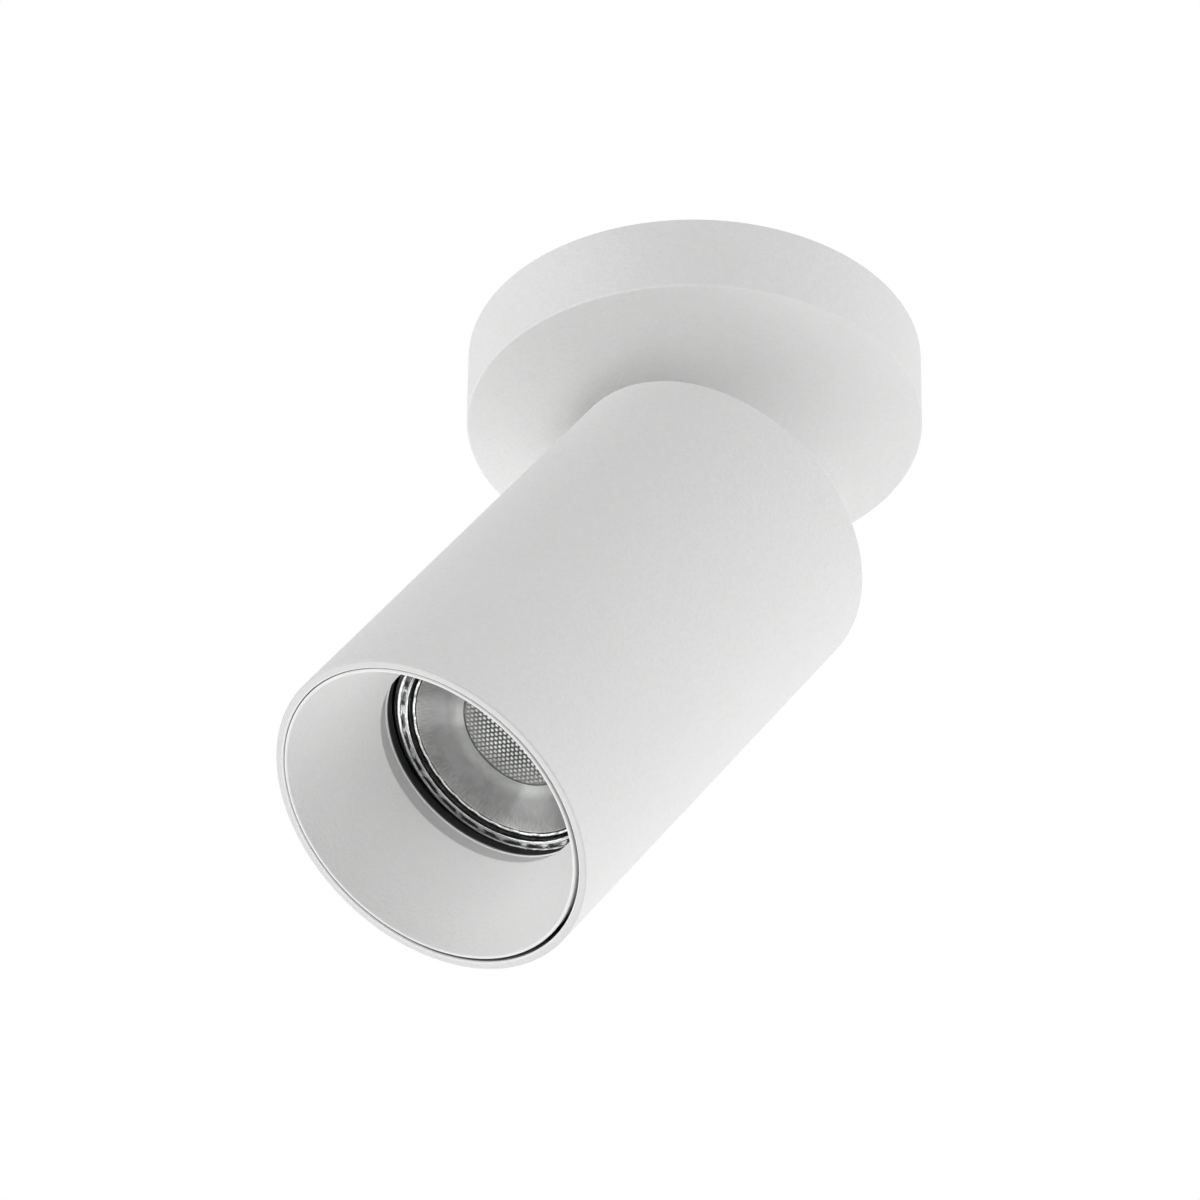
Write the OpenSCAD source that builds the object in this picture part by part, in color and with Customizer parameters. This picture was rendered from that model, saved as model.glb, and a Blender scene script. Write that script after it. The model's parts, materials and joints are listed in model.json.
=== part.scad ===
// Ceiling spotlight: a round canopy, a swivel stem, and a cylindrical head that tilts on two hinge screws.
// Millimetres, +Z up. The origin is on the ceiling, in the middle of the canopy.

/* [Canopy] */
// Outer diameter of the canopy
canopy_d = 94; // [92:0.5:110]
// Height of the canopy, from the ceiling to its face
canopy_h = 17.1; // [16.6:0.1:24]
// Thickness of the canopy's side wall
canopy_wall = 1.5; // [1.2:0.1:2.2]
// Thickness of the canopy's face
canopy_face_t = 1.6; // [1.2:0.1:2]
// Radius of the edge between the canopy's face and side
canopy_edge_r = 0.7; // [0.3:0.1:1]

/* [Ceiling bracket] */
// Thickness of the bracket's steel
bracket_t = 1.5; // [1.2:0.1:2]
// Width of the bracket's bar
bar_w = 16; // [14:0.5:18]
// Diameter of the round pad in the middle of the bracket
pad_d = 34; // [30:0.5:36]
// Diameter of the hole for the supply cable
inlet_d = 16; // [12:0.5:18]
// Distance between the centres of the two ceiling screw slots
fixing_spacing = 58; // [54:0.5:60]
// Width of a ceiling screw slot
fixing_slot_w = 4.5; // [4:0.1:5.5]
// Length of a ceiling screw slot, end to end
fixing_slot_len = 14; // [8:0.5:15]
// Height of the bent tabs that take the side screws
tab_h = 12; // [11.5:0.1:13]
// Distance of the side screws below the ceiling
side_screw_drop = 8.5; // [7:0.1:9]
// Thread diameter of the side screws
side_screw_d = 3; // [2.5:0.5:4]
// Length of the side screws
side_screw_len = 6; // [5:0.5:8]

/* [Terminals] */
// Number of poles in the terminal block
pole_count = 3; // [2:1:3]
// Distance between neighbouring poles
pole_pitch = 8.5; // [8.3:0.1:9]
// Length of the terminal block along its wires
block_len = 16.5; // [15:0.5:18]
// Height of the terminal block
block_h = 11.5; // [10.5:0.1:12.5]
// Distance from the canopy's centre to the middle of the block
block_offset = 26; // [25:0.5:28]
// Thread diameter of the earth screw
earth_screw_d = 4; // [3:0.5:5]
// Distance from the canopy's centre to the earth screw
earth_offset = 20; // [19:0.5:24]

/* [Swivel] */
// Outer diameter of the hollow stem
stem_d = 10; // [9.5:0.1:11]
// Bore of the hollow stem
stem_bore_d = 6; // [5:0.1:6.2]
// Diameter of the collar under the canopy
collar_d = 18; // [16:0.5:20]
// Thickness of the collar
collar_t = 3; // [2:0.1:4]
// Thickness of each swivel washer
swivel_washer_t = 0.8; // [0.5:0.1:1]
// Outer diameter of the inner swivel washer
inner_washer_d = 17; // [15:0.5:18]
// Thickness of the stop disc
stop_disc_t = 1.2; // [1:0.1:1.5]
// Distance from the stem's axis to the stop peg
peg_offset = 11; // [10.8:0.1:12]
// Diameter of the stop peg
peg_d = 2.5; // [2:0.1:3]
// Width of the stop disc's finger
finger_w = 3; // [2:0.1:4]
// Width of the stem nuts across their flats
stem_nut_af = 14; // [13:0.5:15]
// Thickness of the stem nut
stem_nut_t = 4; // [3:0.1:4.2]
// Thickness of the lock nut
lock_nut_t = 2.5; // [2:0.1:2.7]

/* [Hinge] */
// Drop from the canopy's face to the hinge axis
pivot_drop = 31.2; // [31:0.1:45]
// Room between the hinge axis and the lampholder's bridge
hinge_room = 14; // [11:0.5:40]
// Tilt of the head from straight down
head_tilt = 34.3; // [0:0.1:45]
// Direction in plan that the head leans to, from +X
head_aim = 207.9; // [110:0.1:430]
// Largest tilt of the head
tilt_max = 45; // [30:1:45]
// How far the knuckle stands out beyond the stem's radius
knuckle_step = 0.2; // [0.1:0.1:3]
// Width of the knuckle between its cheeks
knuckle_w = 12; // [11.5:0.1:13]
// Thread diameter of the hinge screws
hinge_screw_d = 4; // [3:0.5:4]
// Thickness of the friction washers beside the knuckle
friction_washer_t = 0.6; // [0.4:0.1:1]
// Outer diameter of the friction washers
friction_washer_d = 10; // [8:0.5:10]
// Thickness of the hinge bracket's steel
hinge_plate_t = 1.5; // [1:0.1:1.6]
// Length of the hinge bracket across the head
hinge_plate_len = 48; // [46:0.5:54]
// Distance between the two screws that hold the rear wall and brackets together
body_screw_spacing = 38; // [37:0.5:40]
// Thread diameter of those screws
body_screw_d = 4; // [3:0.5:4]

/* [Head] */
// Outer diameter of the head
head_d = 70.4; // [69.5:0.1:70.8]
// Thickness of the head's wall at its mouth
mouth_wall = 1.7; // [1.2:0.1:1.9]
// Thickness of the head's wall behind the insert
head_wall = 2.5; // [2.4:0.1:4]
// Thickness of the head's rear wall
rear_wall = 2; // [1.5:0.1:3]
// Radius of the head's outer edges
head_edge_r = 0.5; // [0.2:0.1:0.7]

/* [Insert] */
// Radial play between the insert and the head
insert_play = 0.5; // [0.4:0.05:0.6]
// How far the loose insert lies off the head's axis
insert_shift = 0.2; // [0:0.01:0.2]
// Width of the insert's front lip
lip_w = 0.7; // [0.5:0.1:1]
// Length of the insert's outer skirt
skirt_len = 15; // [12:0.5:18]
// Thickness of the skirt
skirt_t = 0.9; // [0.7:0.1:1.2]
// Depth of the baffle cone
cone_depth = 20; // [18:0.1:24]
// Radius of the throat at the cone's rear end
throat_r = 23.2; // [22:0.1:23.4]
// Length of the throat between the cone and the lamp ring
throat_len = 4.1; // [3:0.1:8]
// How far the throat widens towards the lamp ring
throat_flare = 1.2; // [0:0.1:1.2]
// Thickness of the insert's cone and throat
insert_wall = 1.3; // [1:0.1:1.6]
// Number of leaf springs on the skirt
spring_count = 3; // [2:1:5]
// Number of ribs from one leaf spring to the next
ribs_between = 3; // [1:1:4]
// Depth of the black lamp ring
lamp_ring_t = 2.2; // [1.8:0.1:3]

/* [Lamp] */
// Largest diameter of the lamp
lamp_d = 50; // [49:0.1:50.5]
// Length of the lamp without its pins
lamp_len = 46.5; // [45:0.5:48]
// Width of the lamp's front rim
lamp_rim_w = 3.3; // [2.5:0.1:4]
// Depth of the lens's outer edge behind the lamp's rim
lens_edge_depth = 1.6; // [1.5:0.1:3]
// Depth of the lens's middle behind the lamp's rim
lens_mid_depth = 6; // [5:0.1:8]
// Diameter of the dimpled middle of the lens
lens_mid_d = 25; // [22:0.1:28]
// Distance between the two lamp pins
pin_spacing = 10; // [9.5:0.1:10.5]
// Diameter of a pin's neck
pin_neck_d = 3.2; // [3:0.1:3.4]
// Diameter of a pin's foot
pin_foot_d = 5; // [4.8:0.1:5.1]
// Turn that frees the lamp from its holder
lamp_twist = 28; // [24:1:30]

/* [Lampholder] */
// Length of the lampholder across its fixing screws
holder_len = 30; // [29:0.5:32]
// Width of the lampholder
holder_w = 18; // [17:0.5:20]
// Height of the lampholder
holder_h = 15; // [13:0.5:15.5]
// Distance between the lampholder's fixing screws
holder_screw_spacing = 22.4; // [22:0.1:23]
// Thread diameter of the lampholder's screws
holder_screw_d = 3; // [2.5:0.5:3]
// Thickness of the bridge that carries the lampholder
bridge_t = 1; // [0.8:0.1:1.2]
// Width of the bridge
bridge_w = 16; // [14:0.5:18]

/* [Leads] */
// Diameter of a lead's insulation
lead_d = 2; // [1.6:0.1:2.2]
// Diameter of the sleeve round the leads in the stem
lead_sleeve_d = 5.4; // [4.6:0.1:5.4]

/* [Fits] */
// Radial clearance of a turning fit
running_gap = 0.06; // [0.03:0.01:0.09]
// Gap between two flat faces that turn on each other
face_gap = 0.05; // [0.02:0.01:0.1]
// Radial clearance of a screw in a plain hole
screw_gap = 0.25; // [0.15:0.05:0.4]
// Radial clearance of a screw in its thread
thread_gap = 0.05; // [0.02:0.01:0.08]
// Clearance of the stem and knuckle in the head's rear wall
slot_gap = 0.4; // [0.3:0.05:0.5]
// Play of the lamp between the lamp ring and its holder, at each end
lamp_play = 0.2; // [0.1:0.05:0.3]
// Width beyond a lead's radius of the holes that it passes through
lead_play = 0.2; // [0.1:0.05:0.3]

/* [Hidden] */
$fn = 96;
cut = 1;
merge = 0.1;
nut_corner = 0.4;
nut_share = 1.8;
screw_corner = 0.4;
socket_depth = 0.9;
socket_share = 0.32;

canopy_r = canopy_d / 2;
canopy_bore_r = canopy_r - canopy_wall;
face_in_z = -canopy_h + canopy_face_t;
pivot_z = -canopy_h - pivot_drop;

tab_play = 0.5;
tab_x = sqrt(pow(canopy_bore_r - tab_play, 2) - pow(bar_w / 2, 2));
earth_ear_w = 12;
earth_head_h = 2.4;
earth_washer_t = 1;
block_w = pole_count * pole_pitch;
tower_gap = 1.6;
tower_step = 0.2;
screw_grip = 1;
block_foot_t = 3;
sleeve_r = 2;
sleeve_bore_r = 1.5;
sleeve_len = 12;
sleeve_floor = 0.6;
wire_z = -bracket_t - block_foot_t - sleeve_r - sleeve_floor;
clamp_screw_r = 1.3;
clamp_screw_offset = 3.6;
block_screw_d = 2.5;
block_head_play = 0.2;
block_head_h = 1.6;
block_head_r = pole_pitch / 2 - sleeve_r - block_head_play - 0.15;
block_screw_x = pole_count % 2 == 0 ? 0 : pole_pitch / 2;

stem_r = stem_d / 2;
washer_in_top = face_in_z + swivel_washer_t;
disc_z = washer_in_top + face_gap;
nut_z = disc_z + stop_disc_t;
lock_z = nut_z + stem_nut_t;
stem_end = 0.5;
stem_top_z = lock_z + lock_nut_t + stem_end;
lead_sleeve_end = 0.6;
collar_top_z = -canopy_h - swivel_washer_t - face_gap;
peg_clearance = 0.8;
disc_r = peg_offset - peg_d / 2 - peg_clearance;
peg_seat = 0.6;
peg_rise = 0.6;
peg_top_z = disc_z + stop_disc_t + peg_rise;
stem_flat = 1;
peg_aim = 90;

ear_in = knuckle_w / 2 + friction_washer_t + face_gap;
ear_out = ear_in + hinge_plate_t;
knuckle_r = stem_r + knuckle_step;
ear_step = 0.8;
ear_r = knuckle_r + ear_step;
spring_washer_t = 0.8;
spring_washer_d = 7.6;
head_share = 0.9;
hinge_head_r = hinge_screw_d * head_share;
hinge_head_t = 2.4;
hinge_head_y = ear_out + face_gap + spring_washer_t;

head_r = head_d / 2;
mouth_r = head_r - mouth_wall;
inner_r = head_r - head_wall;
knuckle_gap = 0.3;
rear_z = knuckle_r + knuckle_gap + rear_wall;
throat_depth = cone_depth + throat_len;
lamp_room = lamp_len + 2 * lamp_play;
head_len = rear_z + hinge_room + bridge_t + holder_h + lamp_room + lamp_ring_t + throat_depth;
front_z = rear_z - head_len;
rear_in_z = rear_z - rear_wall;
plate_z = rear_in_z - hinge_plate_t;
slot_half_w = stem_r + slot_gap;
slot_reach = rear_z * tan(tilt_max) + stem_r / cos(tilt_max) + slot_gap;
window_margin = 0.6;
foot_z = plate_z - bridge_t;
body_nut_t = 3.2;
foot_end = 5;
foot_len = 10;
countersink_h = 2;
countersink_share = 0.95;
screw_end = 0.8;
screw_sink = 0.5;
hinge_plate_w = 24;
bridge_leg_y = body_screw_spacing / 2 + foot_end;

lamp_face_z = front_z + throat_depth + lamp_ring_t + lamp_play;
lamp_end_z = lamp_face_z + lamp_len;
holder_face_z = lamp_end_z + lamp_play;
holder_back_z = holder_face_z + holder_h;
bridge_z = holder_back_z + bridge_t;
pin_r = pin_spacing / 2;
lip_plate_t = 2.6;
pin_neck_len = 3.5;
pin_foot_len = 3.4;
foot_play = 0.3;
chamber_h = 5.9;
foot_corner = 0.6;
pin_sink = 3;
contact_t = 0.6;
contact_w = 4;
neck_half = pin_neck_d / 2 + foot_play;
foot_half = pin_foot_d / 2 + foot_play;
neck_angle = asin(neck_half / pin_r);
foot_turn_play = 2;
foot_angle = 2 * asin(foot_half / pin_r / 2) + foot_turn_play;
holder_nut_t = 2.4;
holder_sink = 3;
holder_head_h = 1.8;
holder_chamfer = 0.8;

insert_r = mouth_r - insert_play;
insert_cone_r = insert_r - lip_w;
insert_wall_x = insert_wall * norm([cone_depth, insert_cone_r - throat_r]) / cone_depth;
skirt_in_r = insert_r - skirt_t;
cone_meets_skirt = (insert_cone_r + insert_wall_x - skirt_in_r) * cone_depth / (insert_cone_r - throat_r);
throat_rear_r = throat_r + throat_flare;
throat_out_r = throat_rear_r + insert_wall;
cone_meets_throat = (insert_cone_r + insert_wall_x - throat_out_r) * cone_depth / (insert_cone_r - throat_r);
rib_count = spring_count * ribs_between;
rib_t = 1;
rib_end = 1;
ring_grip = 1.3;
ring_collar_h = throat_len - 0.4;
spring_w = 7;
spring_len = 8;
spring_t = 0.3;
spring_bow = 1;
spring_play = 0.5;
spring_z = skirt_len - spring_len / 2 - 2 * spring_play;

lamp_r = lamp_d / 2;
rim_in_r = lamp_r - lamp_rim_w;
rim_h = 3.5;
rim_corner = 0.4;
neck_r = 13;
cup_len = 33;
glass_t = 1.6;
cup_floor_t = 2;
lens_ledge = 0.6;
lens_play = 0.1;
lens_t = 1.6;
base_boss_h = 6;
base_boss_w = 14;
base_boss_r = 11;
base_step = 0.4;
board_t = 1.6;
board_gap = 0.3;
chip_r = 5;
chip_h = 1;
lens_flange = 1.6;
lens_dish = 0.3;
cup_steps = 16;
gather_share = 0.62;

function cone_outer_r(z) = insert_cone_r + insert_wall_x - z * (insert_cone_r - throat_r) / cone_depth;
function cup_r(t, rim, neck) = sqrt(neck * neck + (rim * rim - neck * neck) * (1 - t));
function unit(v) = v / norm(v);
function bezier(p, t) =
    pow(1 - t, 3) * p[0] + 3 * t * pow(1 - t, 2) * p[1] + 3 * t * t * (1 - t) * p[2] + pow(t, 3) * p[3];

// Straight from the first point to the second, then one bend to the last, with two guide points between
function lead_route(start, p, bend_steps = 12) =
    concat([start], [for (i = [0:bend_steps]) bezier(p, i / bend_steps)]);

// Places its children in the stem's frame: origin on the hinge axis, +X where the head leans to
module at_stem() {
    translate([0, 0, pivot_z]) rotate([0, 0, head_aim]) children();
}

// Places its children in the head's frame: origin on the hinge axis, -Z out of the mouth
module at_head() {
    at_stem() rotate([0, -head_tilt, 0]) children();
}

// Places its children in the insert's frame: origin in the head's mouth, +Z to the rear
module at_insert() {
    at_head() translate([insert_shift, 0, front_z]) children();
}

module ring(outer_r, inner_r, h) {
    difference() {
        cylinder(r = outer_r, h = h);
        translate([0, 0, -cut]) cylinder(r = inner_r, h = h + 2 * cut);
    }
}

module hex_nut(af, bore_r, h) {
    difference() {
        intersection() {
            cylinder(r = af / sqrt(3), h = h, $fn = 6);
            cylinder(r1 = af / sqrt(3) - nut_corner, r2 = af / sqrt(3) + h, h = h);
        }
        translate([0, 0, -cut]) cylinder(r = bore_r, h = h + 2 * cut);
    }
}

// A round-ended slot in plan, cut from z = 0 upwards
module slot_cut(len, w, h) {
    for (end = [-1, 1]) translate([end * (len - w) / 2, 0, 0]) cylinder(d = w, h = h);
    translate([-(len - w) / 2, -w / 2, 0]) cube([len - w, w, h]);
}

// A pan head screw: the underside of its head at z = 0, its shank towards -Z
module pan_screw(d, len, head_r, head_h) {
    difference() {
        union() {
            translate([0, 0, -len]) cylinder(r = d / 2, h = len + merge);
            cylinder(r1 = head_r, r2 = head_r - screw_corner, h = head_h);
        }
        translate([0, 0, head_h - socket_depth])
            cylinder(r = d * socket_share, h = socket_depth + cut, $fn = 6);
    }
}

// A lead along a list of points, as an eight-sided tube
module lead(route, d) {
    sides = 8;
    last = len(route) - 1;
    points = [for (i = [0:last], k = [0:sides - 1])
        let (
            ahead = unit(route[min(i + 1, last)] - route[max(i - 1, 0)]),
            side = unit(cross(ahead, abs(ahead.y) < 0.8 ? [0, 1, 0] : [1, 0, 0])),
            rise = cross(ahead, side),
            turn = 360 * k / sides
        )
        route[i] + d / 2 * (cos(turn) * side + sin(turn) * rise)
    ];
    walls = [for (i = [0:last - 1], k = [0:sides - 1])
        let (next = (k + 1) % sides, a = i * sides, b = (i + 1) * sides)
        each [[a + k, b + k, a + next], [a + next, b + k, b + next]]
    ];
    near_end = [for (k = [1:sides - 2]) [0, k, k + 1]];
    far = last * sides;
    far_end = [for (k = [1:sides - 2]) [far, far + k + 1, far + k]];
    polyhedron(points, concat(walls, near_end, far_end));
}

module canopy() {
    color("whitesmoke")
    difference() {
        rotate_extrude() canopy_profile();
        translate([0, 0, -canopy_h - cut]) cylinder(r = stem_r + running_gap, h = canopy_face_t + 2 * cut);
        for (side = [0, 180]) rotate([0, 0, side])
            translate([canopy_bore_r - cut, 0, -side_screw_drop])
                rotate([0, 90, 0]) cylinder(r = side_screw_d / 2 + screw_gap, h = canopy_wall + 2 * cut);
        rotate([0, 0, peg_aim]) translate([peg_offset, 0, face_in_z - peg_seat])
            cylinder(r = peg_d / 2, h = peg_seat + cut);
    }
}

module canopy_profile() {
    difference() {
        translate([0, -canopy_h]) square([canopy_r, canopy_h]);
        translate([-cut, face_in_z]) square([canopy_bore_r + cut, canopy_h]);
        translate([canopy_r - canopy_edge_r, -canopy_h]) edge_cut(canopy_edge_r);
    }
}

// What a round edge of radius r takes off the lower right corner of a profile
module edge_cut(r) {
    difference() {
        translate([0, -cut]) square([r + cut, r + cut]);
        translate([0, r]) circle(r = r);
        translate([-r, 0]) square([r, 2 * r]);
    }
}

module ceiling_bracket() {
    color("silver")
    difference() {
        union() {
            translate([-tab_x, -bar_w / 2, -bracket_t]) cube([2 * tab_x, bar_w, bracket_t]);
            translate([0, 0, -bracket_t]) cylinder(d = pad_d, h = bracket_t);
            translate([-block_w / 2, 0, -bracket_t])
                cube([block_w, block_offset + block_len / 2, bracket_t]);
            translate([-earth_ear_w / 2, -earth_offset, -bracket_t])
                cube([earth_ear_w, earth_offset, bracket_t]);
            translate([0, -earth_offset, -bracket_t]) cylinder(d = earth_ear_w, h = bracket_t);
            for (side = [0, 180]) rotate([0, 0, side]) side_tab();
        }
        translate([0, 0, -bracket_t - cut]) cylinder(d = inlet_d, h = bracket_t + 2 * cut);
        for (end = [-1, 1]) translate([end * fixing_spacing / 2, 0, -bracket_t - cut])
            slot_cut(fixing_slot_len, fixing_slot_w, bracket_t + 2 * cut);
        translate([block_screw_x, block_offset, -bracket_t - cut])
            cylinder(r = block_screw_d / 2 + thread_gap, h = bracket_t + 2 * cut);
        translate([0, -earth_offset, -bracket_t - cut])
            cylinder(r = earth_screw_d / 2 + thread_gap, h = bracket_t + 2 * cut);
    }
}

module side_tab() {
    tab_end_r = bar_w / 2;
    translate([tab_x - bracket_t, 0, 0]) rotate([90, 0, 90])
        difference() {
            linear_extrude(bracket_t) intersection() {
                translate([-bar_w / 2, -tab_h]) square([bar_w, tab_h]);
                translate([0, tab_end_r - tab_h]) scale(1.15) circle(r = tab_end_r);
            }
            translate([0, -side_screw_drop, -cut])
                cylinder(r = side_screw_d / 2 + thread_gap, h = bracket_t + 2 * cut);
        }
}

module side_screws() {
    color("gainsboro")
    for (side = [0, 180]) rotate([0, 0, side])
        translate([canopy_r - screw_sink, 0, -side_screw_drop]) rotate([0, 90, 0])
            difference() {
                translate([0, 0, -side_screw_len]) cylinder(d = side_screw_d, h = side_screw_len);
                translate([0, 0, -socket_depth])
                    cylinder(r = side_screw_d * socket_share, h = socket_depth + cut, $fn = 6);
            }
}

module at_poles() {
    for (i = [0:pole_count - 1])
        translate([(i - (pole_count - 1) / 2) * pole_pitch, block_offset, 0]) children();
}

module terminal_block() {
    tower_r = (pole_pitch - tower_gap) / 2;
    color("ivory")
    difference() {
        union() {
            translate([-block_w / 2, block_offset - block_len / 2, -bracket_t - block_foot_t])
                cube([block_w, block_len, block_foot_t]);
            at_poles() {
                translate([-tower_r, -block_len / 2, wire_z])
                    cube([2 * tower_r, block_len, -wire_z - bracket_t]);
                translate([0, block_len / 2, wire_z]) rotate([90, 0, 0])
                    cylinder(r = tower_r, h = block_len);
                for (end = [-1, 1]) translate([0, end * clamp_screw_offset, -bracket_t - block_h])
                    cylinder(r = tower_r - tower_step, h = block_h);
            }
        }
        at_poles() {
            translate([0, sleeve_len / 2, wire_z]) rotate([90, 0, 0])
                cylinder(r = sleeve_r + thread_gap, h = sleeve_len);
            translate([0, block_len / 2 + cut, wire_z]) rotate([90, 0, 0])
                cylinder(r = sleeve_bore_r + lead_play, h = block_len + 2 * cut);
            for (end = [-1, 1]) translate([0, end * clamp_screw_offset, -bracket_t - block_h - cut])
                cylinder(r = clamp_screw_r + screw_gap, h = block_h + bracket_t + wire_z + cut);
        }
        translate([block_screw_x, block_offset, -bracket_t - block_foot_t - cut])
            cylinder(r = block_screw_d / 2 + screw_gap, h = block_foot_t + 2 * cut);
        translate([block_screw_x, block_offset, -bracket_t - block_h])
            cylinder(r = block_head_r + block_head_play, h = block_h - block_foot_t);
    }
}

module terminal_sleeves() {
    color("goldenrod")
    at_poles() difference() {
        translate([0, sleeve_len / 2, wire_z]) rotate([90, 0, 0]) ring(sleeve_r, sleeve_bore_r, sleeve_len);
        for (end = [-1, 1]) translate([0, end * clamp_screw_offset, wire_z - sleeve_r - cut])
            cylinder(r = clamp_screw_r + thread_gap, h = sleeve_r + cut);
    }
}

module terminal_screws() {
    screw_len = 4;
    slot_w = 0.5;
    slot_depth = 0.7;
    color("silver")
    at_poles() for (end = [-1, 1]) translate([0, end * clamp_screw_offset, wire_z - screw_grip - screw_len])
        difference() {
            cylinder(r = clamp_screw_r, h = screw_len);
            translate([-clamp_screw_r - cut, -slot_w / 2, -cut])
                cube([2 * (clamp_screw_r + cut), slot_w, slot_depth + cut]);
        }
}

module block_screw() {
    color("silver")
    translate([block_screw_x, block_offset, -bracket_t - block_foot_t]) mirror([0, 0, 1])
        pan_screw(block_screw_d, block_foot_t + bracket_t, block_head_r, block_head_h);
}

module earth_screw() {
    color("silver")
    translate([0, -earth_offset, -bracket_t - earth_washer_t]) mirror([0, 0, 1])
        pan_screw(earth_screw_d, earth_washer_t + bracket_t, earth_screw_d * head_share, earth_head_h);
}

module earth_washer() {
    washer_share = 1.1;
    color("goldenrod")
    translate([0, -earth_offset, -bracket_t - earth_washer_t])
        ring(earth_screw_d * washer_share, earth_screw_d / 2 + thread_gap, earth_washer_t);
}

// One lead a pole, from the block's mouths to just above the stem's bore
module supply_leads() {
    lead_y = block_offset - block_len / 2;
    lead_end_gap = 0.4;
    lead_end_z = stem_top_z + lead_end_gap;
    lead_rise = 7.5;
    lead_in = 2;
    lead_out = 1;
    lead_bend = 6;
    gather = gather_share * lead_d;
    color("lightgray")
    for (i = [0:pole_count - 1]) {
        pole_x = (i - (pole_count - 1) / 2) * pole_pitch;
        end_x = (i - (pole_count - 1) / 2) * 2 * gather;
        end_y = i == 1 ? gather : -gather / 2;
        lead(lead_route([pole_x, lead_y + lead_in, wire_z], [
            [pole_x, lead_y - lead_out, wire_z],
            [pole_x, lead_y - lead_out - lead_bend, wire_z],
            [end_x, end_y, lead_end_z + lead_rise],
            [end_x, end_y, lead_end_z]
        ]), lead_d);
    }
}

module stop_peg() {
    color("silver")
    rotate([0, 0, peg_aim]) translate([peg_offset, 0, face_in_z - peg_seat])
        cylinder(d = peg_d, h = peg_top_z - face_in_z + peg_seat);
}

module swivel_washer_inner() {
    color("ivory")
    translate([0, 0, face_in_z]) ring(inner_washer_d / 2, stem_r + running_gap, swivel_washer_t);
}

module swivel_washer_outer() {
    color("ivory")
    translate([0, 0, -canopy_h - swivel_washer_t])
        ring(collar_d / 2, stem_r + running_gap, swivel_washer_t);
}

module swivel_stem() {
    flare_h = 3;
    flare_step = 1;
    color("whitesmoke")
    difference() {
        union() {
            at_stem() cylinder(r = stem_r, h = stem_top_z - pivot_z);
            translate([0, 0, collar_top_z - collar_t]) cylinder(r = collar_d / 2, h = collar_t);
            translate([0, 0, collar_top_z - collar_t - flare_h])
                cylinder(r1 = stem_r, r2 = collar_d / 2 - flare_step, h = flare_h);
            at_stem() rotate([90, 0, 0]) cylinder(r = knuckle_r, h = knuckle_w, center = true);
        }
        at_stem() translate([0, 0, -knuckle_r - cut])
            cylinder(d = stem_bore_d, h = stem_top_z - pivot_z + knuckle_r + 2 * cut);
        at_stem() rotate([90, 0, 0])
            cylinder(r = hinge_screw_d / 2 + thread_gap, h = knuckle_w + 2 * cut, center = true);
        at_stem() translate([-stem_r - cut, -stem_r - cut, disc_z - pivot_z])
            cube([stem_flat + cut, stem_d + 2 * cut, stem_top_z - disc_z + cut]);
    }
}

module stop_disc() {
    finger_end = peg_offset + peg_d / 2 + peg_clearance / 2;
    color("silver")
    rotate([0, 0, head_aim]) translate([0, 0, disc_z])
        difference() {
            union() {
                cylinder(r = disc_r, h = stop_disc_t);
                translate([0, -finger_w / 2, 0]) cube([finger_end, finger_w, stop_disc_t]);
            }
            difference() {
                translate([0, 0, -cut]) cylinder(r = stem_r + thread_gap, h = stop_disc_t + 2 * cut);
                translate([-stem_d, -stem_d, -2 * cut])
                    cube([stem_r + stem_flat - thread_gap, 2 * stem_d, stop_disc_t + 4 * cut]);
            }
        }
}

module stem_nut() {
    color("goldenrod")
    translate([0, 0, nut_z]) hex_nut(stem_nut_af, stem_r + thread_gap, stem_nut_t);
}

module lock_nut() {
    lock_turn = 20;
    color("goldenrod")
    translate([0, 0, lock_z]) rotate([0, 0, lock_turn])
        hex_nut(stem_nut_af, stem_r + thread_gap, lock_nut_t);
}

module stem_lead_sleeve() {
    color("ivory")
    at_stem() translate([0, 0, lead_sleeve_end - knuckle_r])
        cylinder(d = lead_sleeve_d, h = stem_top_z - pivot_z + knuckle_r - 2 * lead_sleeve_end);
}

module at_hinge_sides() {
    for (side = [-90, 90]) rotate([side, 0, 0]) children();
}

module hinge_screws() {
    bore_gap = 0.3;
    shank = hinge_head_y - stem_bore_d / 2 - bore_gap;
    color("silver")
    at_stem() at_hinge_sides() translate([0, 0, hinge_head_y])
        pan_screw(hinge_screw_d, shank, hinge_head_r, hinge_head_t);
}

module friction_washers() {
    color("ivory")
    at_stem() at_hinge_sides() translate([0, 0, knuckle_w / 2])
        ring(friction_washer_d / 2, hinge_screw_d / 2 + thread_gap, friction_washer_t);
}

module spring_washers() {
    color("silver")
    at_stem() at_hinge_sides() translate([0, 0, ear_out + face_gap])
        ring(spring_washer_d / 2, hinge_screw_d / 2 + thread_gap, spring_washer_t);
}

module head_casing() {
    color("whitesmoke")
    at_head() difference() {
        rotate_extrude() casing_profile();
        translate([0, 0, rear_in_z - cut]) stem_slot(rear_wall + 2 * cut);
        at_body_screws() {
            translate([0, 0, rear_in_z - cut])
                cylinder(r = body_screw_d / 2 + screw_gap, h = rear_wall + 2 * cut);
            translate([0, 0, rear_z - countersink_h]) countersink(thread_gap);
            translate([0, 0, rear_z]) cylinder(r = body_screw_d, h = cut);
        }
    }
}

module casing_profile() {
    difference() {
        translate([0, front_z]) square([head_r, head_len]);
        translate([-cut, front_z - cut]) square([mouth_r + cut, skirt_len + face_gap + cut]);
        translate([-cut, front_z - cut]) square([inner_r + cut, head_len - rear_wall + cut]);
        translate([head_r - head_edge_r, front_z]) edge_cut(head_edge_r);
        translate([head_r - head_edge_r, rear_z]) mirror([0, 1]) edge_cut(head_edge_r);
    }
}

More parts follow.
